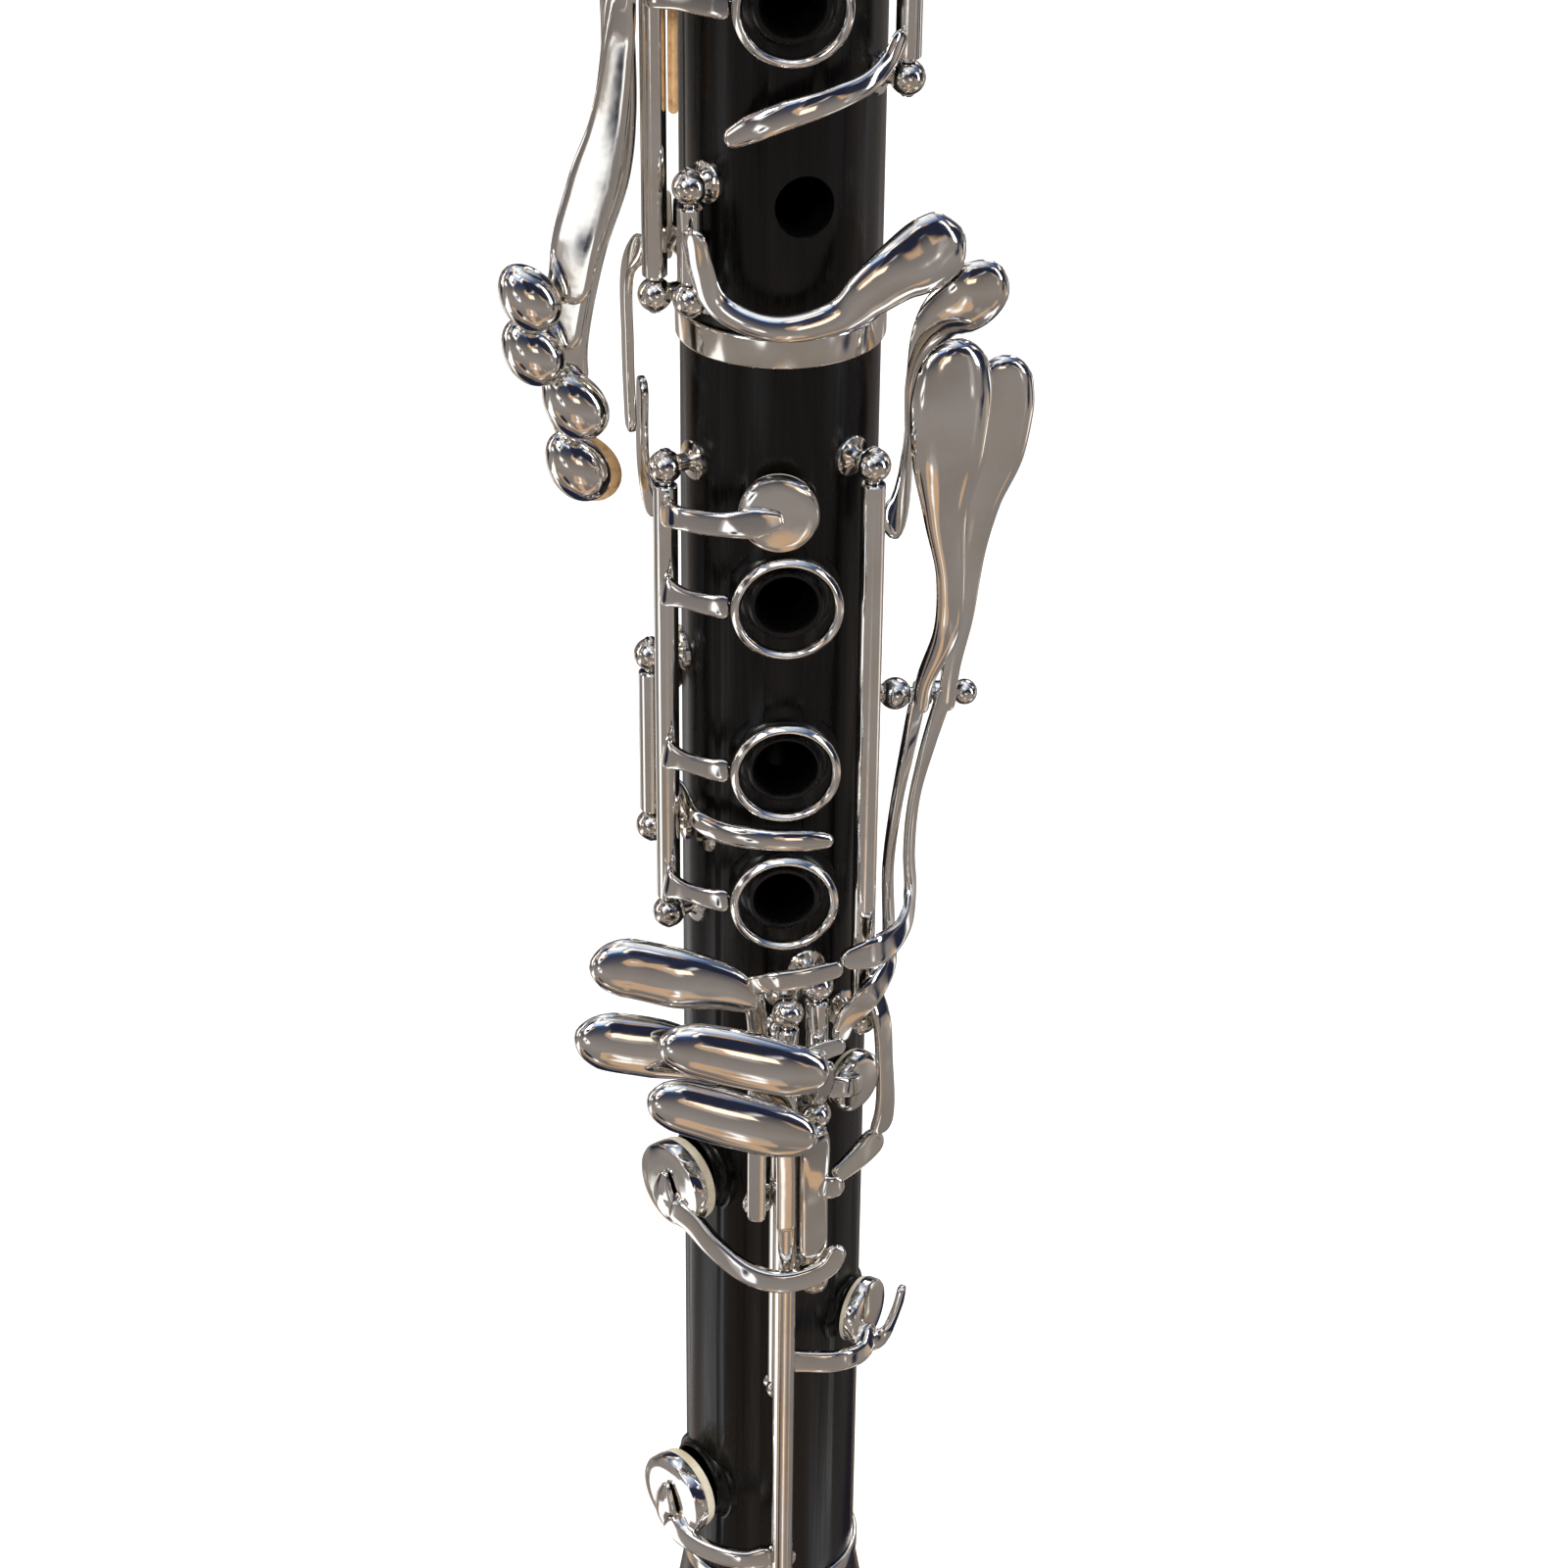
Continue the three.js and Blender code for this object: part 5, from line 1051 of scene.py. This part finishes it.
def mouthpiece():
    low, high = MOUTHPIECE_BASE, TIP_HEIGHT
    steps = 10
    cone = []
    for k in range(steps + 1):
        share = k / steps
        cone.append((MOUTHPIECE_R - 0.5 - (MOUTHPIECE_R - 0.5 - MOUTHPIECE_TOP_R) * share**1.15,
                     low + 12 + (high - low - 12) * share))
    shell = lathe([(BORE_R, low - TENON), (TENON_R, low - TENON), (TENON_R, low), (MOUTHPIECE_R - 0.4, low),
                   (MOUTHPIECE_R, low + 0.5), (MOUTHPIECE_R, low + 2.5), (MOUTHPIECE_R - 0.4, low + 3), *cone,
                   (BORE_R - 1.6, high), (BORE_R - 0.6, low + 20)], sides=BODY_SIDES)
    far = 40
    front, floor = 2.6 - MOUTHPIECE_R, TABLE_DEPTH - 2.6
    roof = side_plate([(front, high - BEAK - 8), (-1, high - BEAK + 8), (floor, high - 2.6), (floor, high),
                       (front, high)], 2 * (BORE_R - 0.9))
    table = block(-far, far, TABLE_DEPTH, far, low + 3, high + 1)
    arc = []
    for k in range(13):  # the beak's gently hollow slope
        share = k / 12
        y = -MOUTHPIECE_R + 1.4 + (TABLE_DEPTH - TIP_OPENING + MOUTHPIECE_R - 2.3) * share
        arc.append((y + 1.0 * math.sin(math.pi * share), high - BEAK + (BEAK + 0.5) * share))
    tip = TABLE_DEPTH - TIP_OPENING - 0.9
    beak = side_plate([(-far, high - BEAK), *arc, (tip, high + 5), (-far, high + 5)], 2 * far)
    relief = side_plate([(TABLE_DEPTH + 1, high - 22), (TABLE_DEPTH, high - 22),
                         (TABLE_DEPTH - 0.3, high - 10), (TABLE_DEPTH - TIP_OPENING, high + 1),
                         (TABLE_DEPTH + 1, high + 1)], 2 * far)
    window = block(-4.6, 4.6, 1, TABLE_DEPTH + 1, high - 31, high - 2.4)
    return [shell, roof], [table, beak, relief, window]


def reed():
    y = TABLE_DEPTH + 0.05
    low, high = MOUTHPIECE_BASE + 4, TIP_HEIGHT - 0.4
    vamp = []
    for k in range(13):
        share = k / 12
        z = TIP_HEIGHT - 36 + (high - TIP_HEIGHT + 36) * share
        vamp.append((y + 0.35 + (REED_HEEL - 0.35) * (1 - share) ** 1.35, z))
    heel = [(y, low), (y + REED_HEEL, low)]
    round_back = [(0, low - 1), (7.4, low - 1), (7.4, high + 1), (0, high + 1)]
    bark = lathe(round_back, Vector((0, y + REED_HEEL - 7.3, 0)), sides=96)
    return side_plate([*heel, *vamp, (y, high)], REED_WIDTH), bark


LIGATURE_HEIGHT = 25
LIGATURE_THICK = 0.9


def oval(grow, low, high):
    back = TABLE_DEPTH + REED_HEEL + 1.3
    half = MOUTHPIECE_R + 0.1
    rings = []
    for z in (low, high):
        ring = []
        for k in range(96):
            turn = 2 * math.pi * k / 96
            y = (back - half) / 2 + ((back + half) / 2 + grow) * math.sin(turn)
            ring.append(Vector(((half + grow) * math.cos(turn), y, z)))
        rings.append(ring)
    return loft(rings)


def ligature():
    low = MOUTHPIECE_BASE + 9
    high = low + LIGATURE_HEIGHT
    back = TABLE_DEPTH + REED_HEEL + 0.3
    shapes = [oval(LIGATURE_THICK + 0.6, low, high), oval(LIGATURE_THICK + 0.95, low, low + 1.6),
              oval(LIGATURE_THICK + 0.95, high - 1.6, high)]
    knobs = []
    for rise in (5, 19):
        y, z = back + 3.6, low + rise
        left = Vector((-11, y, z))
        right = Vector((1, 0, 0))
        knobs += [tube(left, Vector((6, y, z)), 1.1)]
        knob = [(0, 0), (2.7, 0), (3, 0.3), (3, 3.2), (2.7, 3.5), (0, 3.5)]
        knobs += [lathe(knob, left - right * 3.5, right, 24)]
        knobs += [tube(Vector((x, y, z)), Vector((x + 3, y, z)), 2.3) for x in (-6, 3)]
        knobs += [block(x, x + 2.2, back + 0.6, y, z - 1.6, z + 1.6) for x in (-5.6, 3.4)]
    side = REED_WIDTH / 2 + 0.2
    window = [block(x - 2, x + 2, -30, -5, low + 5, high - 5) for x in (-5, 5)]
    cuts = [oval(0.5, low - 1, high + 1), block(-side, side, 0, back, low - 1, high + 1), *window]
    return shapes, knobs, cuts


def thumb_rest():
    z = 276
    plate = strap([(0.95, 180, z - 16, 11), (0.95, 180, z - 3, 11), (0.95, 180, z + 10, 11)], 1.5)
    hook = strap([
        (0.9, 180, z, 12), (6, 180, z + 0.6, 13), (12, 180, z - 1, 14), (16.5, 180, z - 6, 13),
    ], [2.4, 2.4, 2.4, 2], "spoon")
    head = [(0, 1), (2, 1), (2, 1.9), (1.6, 2.2), (0, 2.3)]
    screws = [disc(180, z + rise, head, 32) for rise in (-12, 6.5)]
    return [plate, hook, *screws], []


# ---- materials ----
def shader(name):
    """A new material's node maker, its links and its Principled shader."""
    material = bpy.data.materials.new(name)
    material.use_nodes = True
    tree = material.node_tree
    tree.nodes.clear()
    out = tree.nodes.new("ShaderNodeOutputMaterial")
    principled = tree.nodes.new("ShaderNodeBsdfPrincipled")
    tree.links.new(principled.outputs["BSDF"], out.inputs["Surface"])
    return material, tree, principled


def object_place(tree, stretch):
    """The object's own coordinates in metres, stretched per axis."""
    place = tree.nodes.new("ShaderNodeTexCoord")
    mapping = tree.nodes.new("ShaderNodeMapping")
    mapping.inputs["Scale"].default_value = stretch
    tree.links.new(place.outputs["Object"], mapping.inputs["Vector"])
    return mapping.outputs["Vector"]


def noise(tree, where, scale, detail=3.0, rough=0.5):
    node = tree.nodes.new("ShaderNodeTexNoise")
    node.inputs["Scale"].default_value = scale
    node.inputs["Detail"].default_value = detail
    node.inputs["Roughness"].default_value = rough
    tree.links.new(where, node.inputs["Vector"])
    return node.outputs["Fac"]


def ramp(tree, fac, stops):
    """A colour ramp from (place, colour) stops."""
    node = tree.nodes.new("ShaderNodeValToRGB")
    while len(node.color_ramp.elements) < len(stops):
        node.color_ramp.elements.new(0.5)
    for element, (place, colour) in zip(node.color_ramp.elements, stops):
        element.position = place
        element.color = (*colour, 1)
    tree.links.new(fac, node.inputs["Fac"])
    return node.outputs["Color"]


def levels(tree, fac, low, high, start=0.3, end=0.7):
    """A value mapped from one range to another."""
    node = tree.nodes.new("ShaderNodeMapRange")
    for name, value in (("From Min", start), ("From Max", end), ("To Min", low), ("To Max", high)):
        node.inputs[name].default_value = value
    tree.links.new(fac, node.inputs["Value"])
    return node.outputs["Result"]


def mixed(tree, factor, a, b):
    """A colour between two others; each of the three is a link or a value."""
    mix = tree.nodes.new("ShaderNodeMix")
    mix.data_type = "RGBA"
    for name, value in (("Factor", factor), ("A", a), ("B", b)):
        if isinstance(value, bpy.types.NodeSocket):
            tree.links.new(value, mix.inputs[name])
        else:
            mix.inputs[name].default_value = value
    return mix.outputs["Result"]


def bump(tree, principled, height, strength, distance):
    node = tree.nodes.new("ShaderNodeBump")
    node.inputs["Strength"].default_value = strength
    node.inputs["Distance"].default_value = distance
    tree.links.new(height, node.inputs["Height"])
    tree.links.new(node.outputs["Normal"], principled.inputs["Normal"])


def noise_material(name, stretch, tint, stops, rough, relief=None):
    """A material whose tint, roughness and relief each come from a noise of (scale, detail, roughness)."""
    material, tree, principled = shader(name)
    where = object_place(tree, stretch)
    tint_noise = noise(tree, where, *tint)
    rough_noise = tint_noise if rough[0] is None else noise(tree, where, *rough[0])
    tree.links.new(ramp(tree, tint_noise, stops), principled.inputs["Base Color"])
    tree.links.new(levels(tree, rough_noise, *rough[1:]), principled.inputs["Roughness"])
    if relief:
        bump(tree, principled, noise(tree, where, *relief[0]) if relief[0] else tint_noise, *relief[1:])
    return material, tree, principled, where


def plated(name, light, worn, rough=0.06, haze=0.05):
    """Polished plating: faint tarnish in patches, hazier where it is handled, and a hand-buffed ripple."""
    material, _, principled, _ = noise_material(
        name, (1, 1, 1), (90, 4, 0.6), [(0.35, worn), (0.6, light)],
        ((420, 5, 0.65), rough, rough + haze), ((260, 2), 0.05, 0.0004))
    principled.inputs["Metallic"].default_value = 1.0
    return material


def hardwood(name, dark, brown, rough):
    """Oiled black hardwood: long fine grain, open pores, a dull sheen."""
    material, tree, principled = shader(name)
    along = object_place(tree, (1, 1, 0.035))
    grain = noise(tree, along, 1500, 6, 0.62)
    streaks = noise(tree, along, 320, 3, 0.5)
    fine = ramp(tree, grain, [(0.42, dark), (0.72, brown)])
    broad = ramp(tree, streaks, [(0.45, dark), (0.75, brown)])
    tree.links.new(mixed(tree, 0.5, fine, broad), principled.inputs["Base Color"])
    tree.links.new(levels(tree, grain, rough - 0.05, rough + 0.1), principled.inputs["Roughness"])
    principled.inputs["Specular IOR Level"].default_value = 0.30
    bump(tree, principled, grain, 0.07, 0.0001)
    return material


def ebonite(name):
    return noise_material(
        name, (1, 1, 1), (60,), [(0.3, (0.008, 0.008, 0.009)), (0.7, (0.014, 0.013, 0.013))],
        ((700, 4), 0.12, 0.22), ((900, 2), 0.04, 0.0002))[0]


def cork(name):
    """Cork: warm flecks over small cells."""
    material, tree, principled, where = noise_material(
        name, (1, 1, 1), (380, 5, 0.7),
        [(0.3, (0.20, 0.095, 0.035)), (0.45, (0.50, 0.29, 0.13)), (0.75, (0.66, 0.42, 0.21))],
        (None, 0.75, 0.95))
    cells = tree.nodes.new("ShaderNodeTexVoronoi")
    cells.inputs["Scale"].default_value = 900
    tree.links.new(where, cells.inputs["Vector"])
    bump(tree, principled, cells.outputs["Distance"], 0.35, 0.0002)
    return material


def cane(name):
    return noise_material(
        name, (1, 1, 0.02), (1300, 5, 0.6),
        [(0.3, (0.52, 0.37, 0.15)), (0.55, (0.74, 0.59, 0.31)), (0.8, (0.82, 0.70, 0.42))],
        (None, 0.45, 0.65), (None, 0.25, 0.00012))[0]


def skin(name):
    """Pale pad skin over felt: slightly yellowed, softly shining, finely wrinkled."""
    material, _, principled, _ = noise_material(
        name, (1, 1, 1), (240, 4, 0.6),
        [(0.3, (0.60, 0.50, 0.34)), (0.55, (0.78, 0.71, 0.56)), (0.8, (0.86, 0.81, 0.69))],
        (None, 0.4, 0.6), ((1500, 4), 0.2, 0.0001))
    principled.inputs["Subsurface Weight"].default_value = 0.15
    principled.inputs["Subsurface Radius"].default_value = (0.001, 0.0007, 0.0005)
    return material


KEY_SILVER = plated("key_silver", (0.86, 0.845, 0.82), (0.80, 0.765, 0.70))
POST_SILVER = plated("post_silver", (0.85, 0.83, 0.80), (0.76, 0.71, 0.63), 0.09)
RING_SILVER = plated("ring_silver", (0.86, 0.84, 0.80), (0.77, 0.72, 0.64), 0.10)
LIGATURE_NICKEL = plated("ligature_nickel", (0.80, 0.79, 0.77), (0.72, 0.70, 0.67), 0.12)
WOOD = hardwood("black_wood", (0.0012, 0.0011, 0.0011), (0.0024, 0.0019, 0.0018), 0.24)
EBONITE = ebonite("ebonite")
CORK = cork("cork")
CANE = cane("cane")
SKIN = skin("pad_skin")


# ---- assembly ----
def wooden(name, shapes, cuts, material=None, slot="wood"):
    return finished(combined(name, shapes, cuts), material or WOOD, "instrument", [name])


def drilled(name, body, holes):
    raised = [chimney(phi, z, radius, lift) for phi, z, _, radius, lift in holes if lift > 0]
    return wooden(name, [body, *raised], [drill(phi, z, radius, lift) for phi, z, radius, _, lift in holes])


drilled("lower_joint", lathe(joint(LOWER_BASE, UPPER_BASE, "socket"), sides=BODY_SIDES), LOWER_HOLES)
drilled("upper_joint", lathe(joint(UPPER_BASE, BARREL_BASE, "tenon"), sides=BODY_SIDES), UPPER_HOLES)
wooden("bell", [bell()], [])
wooden("barrel", [barrel()], [])
wooden("mouthpiece", *mouthpiece(), material=EBONITE, slot="ebonite")

reed_shape, bark_shape = reed()
reed_piece = combined("reed", [reed_shape])
apply_boolean(reed_piece, combined("reed_bark", [bark_shape]), "INTERSECT")
finished(reed_piece, CANE, "instrument", ["reed"])

RINGS = {
    "lower_socket_ring": body_ring(UPPER_BASE - RING_HEIGHT),
    "barrel_bottom_ring": body_ring(BARREL_BASE),
    "barrel_top_ring": body_ring(MOUTHPIECE_BASE - RING_HEIGHT),
    "bell_socket_ring": body_ring(LOWER_BASE - BELL_RING_HEIGHT, BELL_RING_HEIGHT),
    "bell_rim_ring": rim_ring(),
}
for name, shape in RINGS.items():
    finished(combined(name, [shape]), RING_SILVER, "instrument", [name])

CORKS = {
    "lower_tenon_cork": (LOWER_BASE - TENON, LOWER_BASE),
    "middle_tenon_cork": (UPPER_BASE - TENON, UPPER_BASE),
    "upper_tenon_cork": (BARREL_BASE, BARREL_BASE + TENON),
    "mouthpiece_cork": (MOUTHPIECE_BASE - TENON, MOUTHPIECE_BASE),
}
for name, (low, high) in CORKS.items():
    finished(combined(name, [cork_sleeve(low, high)]), CORK, "instrument", [name])

band, knobs, ligature_cuts = ligature()
finished(combined("ligature", [*band, *knobs], ligature_cuts), LIGATURE_NICKEL, "instrument", ["ligature"])
finished(combined("thumb_rest", *thumb_rest()), POST_SILVER, "instrument", ["thumb_rest"])

RODS = {
    "lower_stack_rod": posted_rod(LOWER_STACK),
    "lower_sliver_rod": posted_rod(LOWER_SLIVER),
    "right_e_b_rod": posted_rod(E_B),
    "right_f_sharp_rod": posted_rod(F_SHARP, SMALL_BALL_R, 0.7),
    "right_f_c_rod": posted_rod(F_C),
    "left_f_c_rod": posted_rod(LEFT_F_C),
    "left_pivot_rod": pivot_rod(),
    "upper_stack_rod": posted_rod(UPPER_STACK),
    "thumb_ring_rod": posted_rod(THUMB_RING),
    "c_sharp_rod": posted_rod(C_SHARP),
    "upper_sliver_rod": posted_rod(UPPER_SLIVER),
    "throat_g_sharp_rod": posted_rod(THROAT_G_SHARP),
    "throat_a_rod": cross_rod(THROAT_A.phi, THROAT_A.lift, THROAT_A.z, THROAT_A_REACH),
    "register_rod": cross_rod(REGISTER.phi, REGISTER.lift, REGISTER.z, REGISTER_REACH),
    "side_key_rod": cross_rod(SIDE_PHI, SIDE_LIFT, SIDE_HEIGHT, SIDE_REACH),
}
for name, (shapes, cuts) in RODS.items():
    finished(combined(name, shapes, cuts), POST_SILVER, "instrument", [name])

for make in (lower_ring_key, lower_sliver_key, right_e_b_key, right_f_sharp_key, right_f_c_key,
             right_a_flat_key, left_f_c_lever, left_e_b_lever, left_f_sharp_lever, first_ring_key,
             second_ring_key, thumb_ring_key, c_sharp_key, upper_sliver_key, throat_g_sharp_key,
             throat_a_key, register_key):
    make()
for number, side in enumerate(SIDE_KEYS, 1):
    side_key(number, *side)
for name, (shapes, cuts, body) in KEYS.items():
    finished(combined(name, shapes, cuts), KEY_SILVER, body, [name])
for name, (shape, body) in PADS.items():
    finished(combined(name, [shape]), SKIN, body, [name] if name in frame["nodes"] else [])

# Small fittings that the plain model doesn't hold: shapes, cuts, material, body, slot.
side_cork = egg(facing(SIDE_PHI) * 26.5 + around(SIDE_PHI) * -5.7 + Vector((0, 1.3, 302)), 4.1, 5.7)
rest_cork = strap([(3.0, -62, 356.5, 1.6), (3.0, -62, 377.5, 1.6)], 0.9)
FITTINGS = {
    "spring_screw": (*spring_screw(-50, 246), POST_SILVER, "instrument", "post_plate"),
    "stack_cork": ([rest_cork], [], CORK, "instrument", "cork"),
    "side_touch_cork": ([side_cork], [], CORK, "side_key_4", "cork"),
}
for name, (shapes, cuts, material, body, slot) in FITTINGS.items():
    finished(combined(name, shapes, cuts), material, body, [])


# ---- stage, lights and camera ----
def plane(name, size, place):
    """A flat square that isn't part of the object."""
    half = size / 2
    mesh = bpy.data.meshes.new(name)
    corners = [(-half, -half, 0), (half, -half, 0), (half, half, 0), (-half, half, 0)]
    mesh.from_pydata(corners, [], [(0, 1, 2, 3)])
    card = bpy.data.objects.new(name, mesh)
    bpy.context.scene.collection.objects.link(card)
    card.location = place
    material, tree, principled = shader(name)
    principled.inputs["Base Color"].default_value = (0.93, 0.93, 0.93, 1)
    principled.inputs["Roughness"].default_value = 0.9
    mesh.materials.append(material)
    return card


floor = plane("floor", 30, (0, 0, 0))
floor.visible_glossy = False  # the plating mirrors the room and not the floor


def area_light(name, place, aim, width, height, radiance, colour=(1, 1, 1), mirrored=True):
    """A rectangular lamp of a given radiance; one that isn't mirrored gives no highlight."""
    data = bpy.data.lights.new(name, "AREA")
    data.shape = "RECTANGLE"
    data.size, data.size_y = width, height
    data.energy = radiance * math.pi * width * height
    data.color = colour
    lamp = bpy.data.objects.new(name, data)
    bpy.context.scene.collection.objects.link(lamp)
    lamp.location = place
    lamp.rotation_mode = "QUATERNION"
    lamp.rotation_quaternion = (Vector(aim) - Vector(place)).to_track_quat("-Z", "Y")
    lamp.visible_glossy = mirrored
    return lamp


MIDDLE = (0, 0, 0.27)
WARM = (1.0, 0.80, 0.58)
COOL = (0.62, 0.78, 1.0)
area_light("sky", (0, -0.3, 2.6), (0, 0, 0), 3.2, 3.2, 1.2, mirrored=False)
area_light("key_box", (-0.85, -0.75, 1.15), MIDDLE, 0.30, 0.42, 16, (1.0, 0.96, 0.90))
area_light("side_box", (1.25, -0.55, 0.55), MIDDLE, 0.16, 0.9, 9, (0.93, 0.97, 1.0))
area_light("rim_box", (-1.3, 0.35, 0.6), MIDDLE, 0.10, 0.8, 5, (1.0, 0.95, 0.88))
area_light("back_box", (0.6, 1.1, 1.1), MIDDLE, 0.5, 0.3, 5)
area_light("warm_card", (0.35, -1.5, 0.35), MIDDLE, 0.35, 0.22, 1.6, WARM)
area_light("cool_card", (-0.5, -1.3, 1.6), MIDDLE, 0.7, 0.35, 0.8, COOL)

world = bpy.data.worlds.new("studio")
bpy.context.scene.world = world
world.use_nodes = True
tree = world.node_tree
background = tree.nodes["Background"]
place = tree.nodes.new("ShaderNodeTexCoord")
split = tree.nodes.new("ShaderNodeSeparateXYZ")
tree.links.new(place.outputs["Generated"], split.inputs["Vector"])
room = ramp(tree, levels(tree, split.outputs["Z"], 0, 1, -1, 1), [
    (0.00, (0.17, 0.15, 0.14)),
    (0.30, (0.30, 0.27, 0.25)),
    (0.46, (0.22, 0.195, 0.185)),
    (0.60, (0.08, 0.08, 0.095)),
    (0.72, (0.03, 0.042, 0.10)),
    (0.84, (0.08, 0.13, 0.27)),
    (0.92, (0.45, 0.54, 0.72)),
    (1.00, (1.2, 1.25, 1.35)),
])


def patches(base, scale, low, high, colour):
    """Crisp patches of another colour in what the plating mirrors."""
    spread = noise(tree, place.outputs["Generated"], scale, 1.0)
    return mixed(tree, levels(tree, spread, 0, 1, low, high), base, (*colour, 1))


for patch in (
    (2.1, 0.53, 0.57, (0.42, 0.38, 0.36)),  # pale walls
    (1.8, 0.56, 0.575, (0.62, 0.42, 0.27)),  # warm skin and wood
    (2.3, 0.60, 0.615, (1.4, 1.4, 1.4)),  # windows
    (1.5, 0.56, 0.60, (0.016, 0.02, 0.045)),  # dark corners
):
    room = patches(room, *patch)
path = tree.nodes.new("ShaderNodeLightPath")
# What the plating mirrors is a room; everything else sees plain white.
seen = mixed(tree, path.outputs["Is Glossy Ray"], (0.95, 0.95, 0.95, 1), room)
tree.links.new(seen, background.inputs["Color"])
background.inputs["Strength"].default_value = 1.0
bpy.context.scene.view_settings.view_transform = "Standard"

DISTANCE = 0.530
TILT = math.radians(30)
TURN = math.radians(-4.3)
AIM_HEIGHT = 0.2495
SIDE_STEP = 0.00112
ROLL = math.radians(0.57)
camera_data = bpy.data.cameras.new("camera")
camera_data.lens = 81.7
camera_data.sensor_width = 36
camera_data.clip_start = 0.01
camera = bpy.data.objects.new("camera", camera_data)
bpy.context.scene.collection.objects.link(camera)
back = Vector((math.sin(TURN) * math.cos(TILT), -math.cos(TURN) * math.cos(TILT), math.sin(TILT)))
right = Vector((math.cos(TURN), math.sin(TURN), 0))
camera.rotation_mode = "QUATERNION"
camera.rotation_quaternion = (-back).to_track_quat("-Z", "Y") @ Matrix.Rotation(ROLL, 3, "Z").to_quaternion()
camera.location = Vector((0, 0, AIM_HEIGHT)) + back * DISTANCE + right * SIDE_STEP
bpy.context.scene.camera = camera
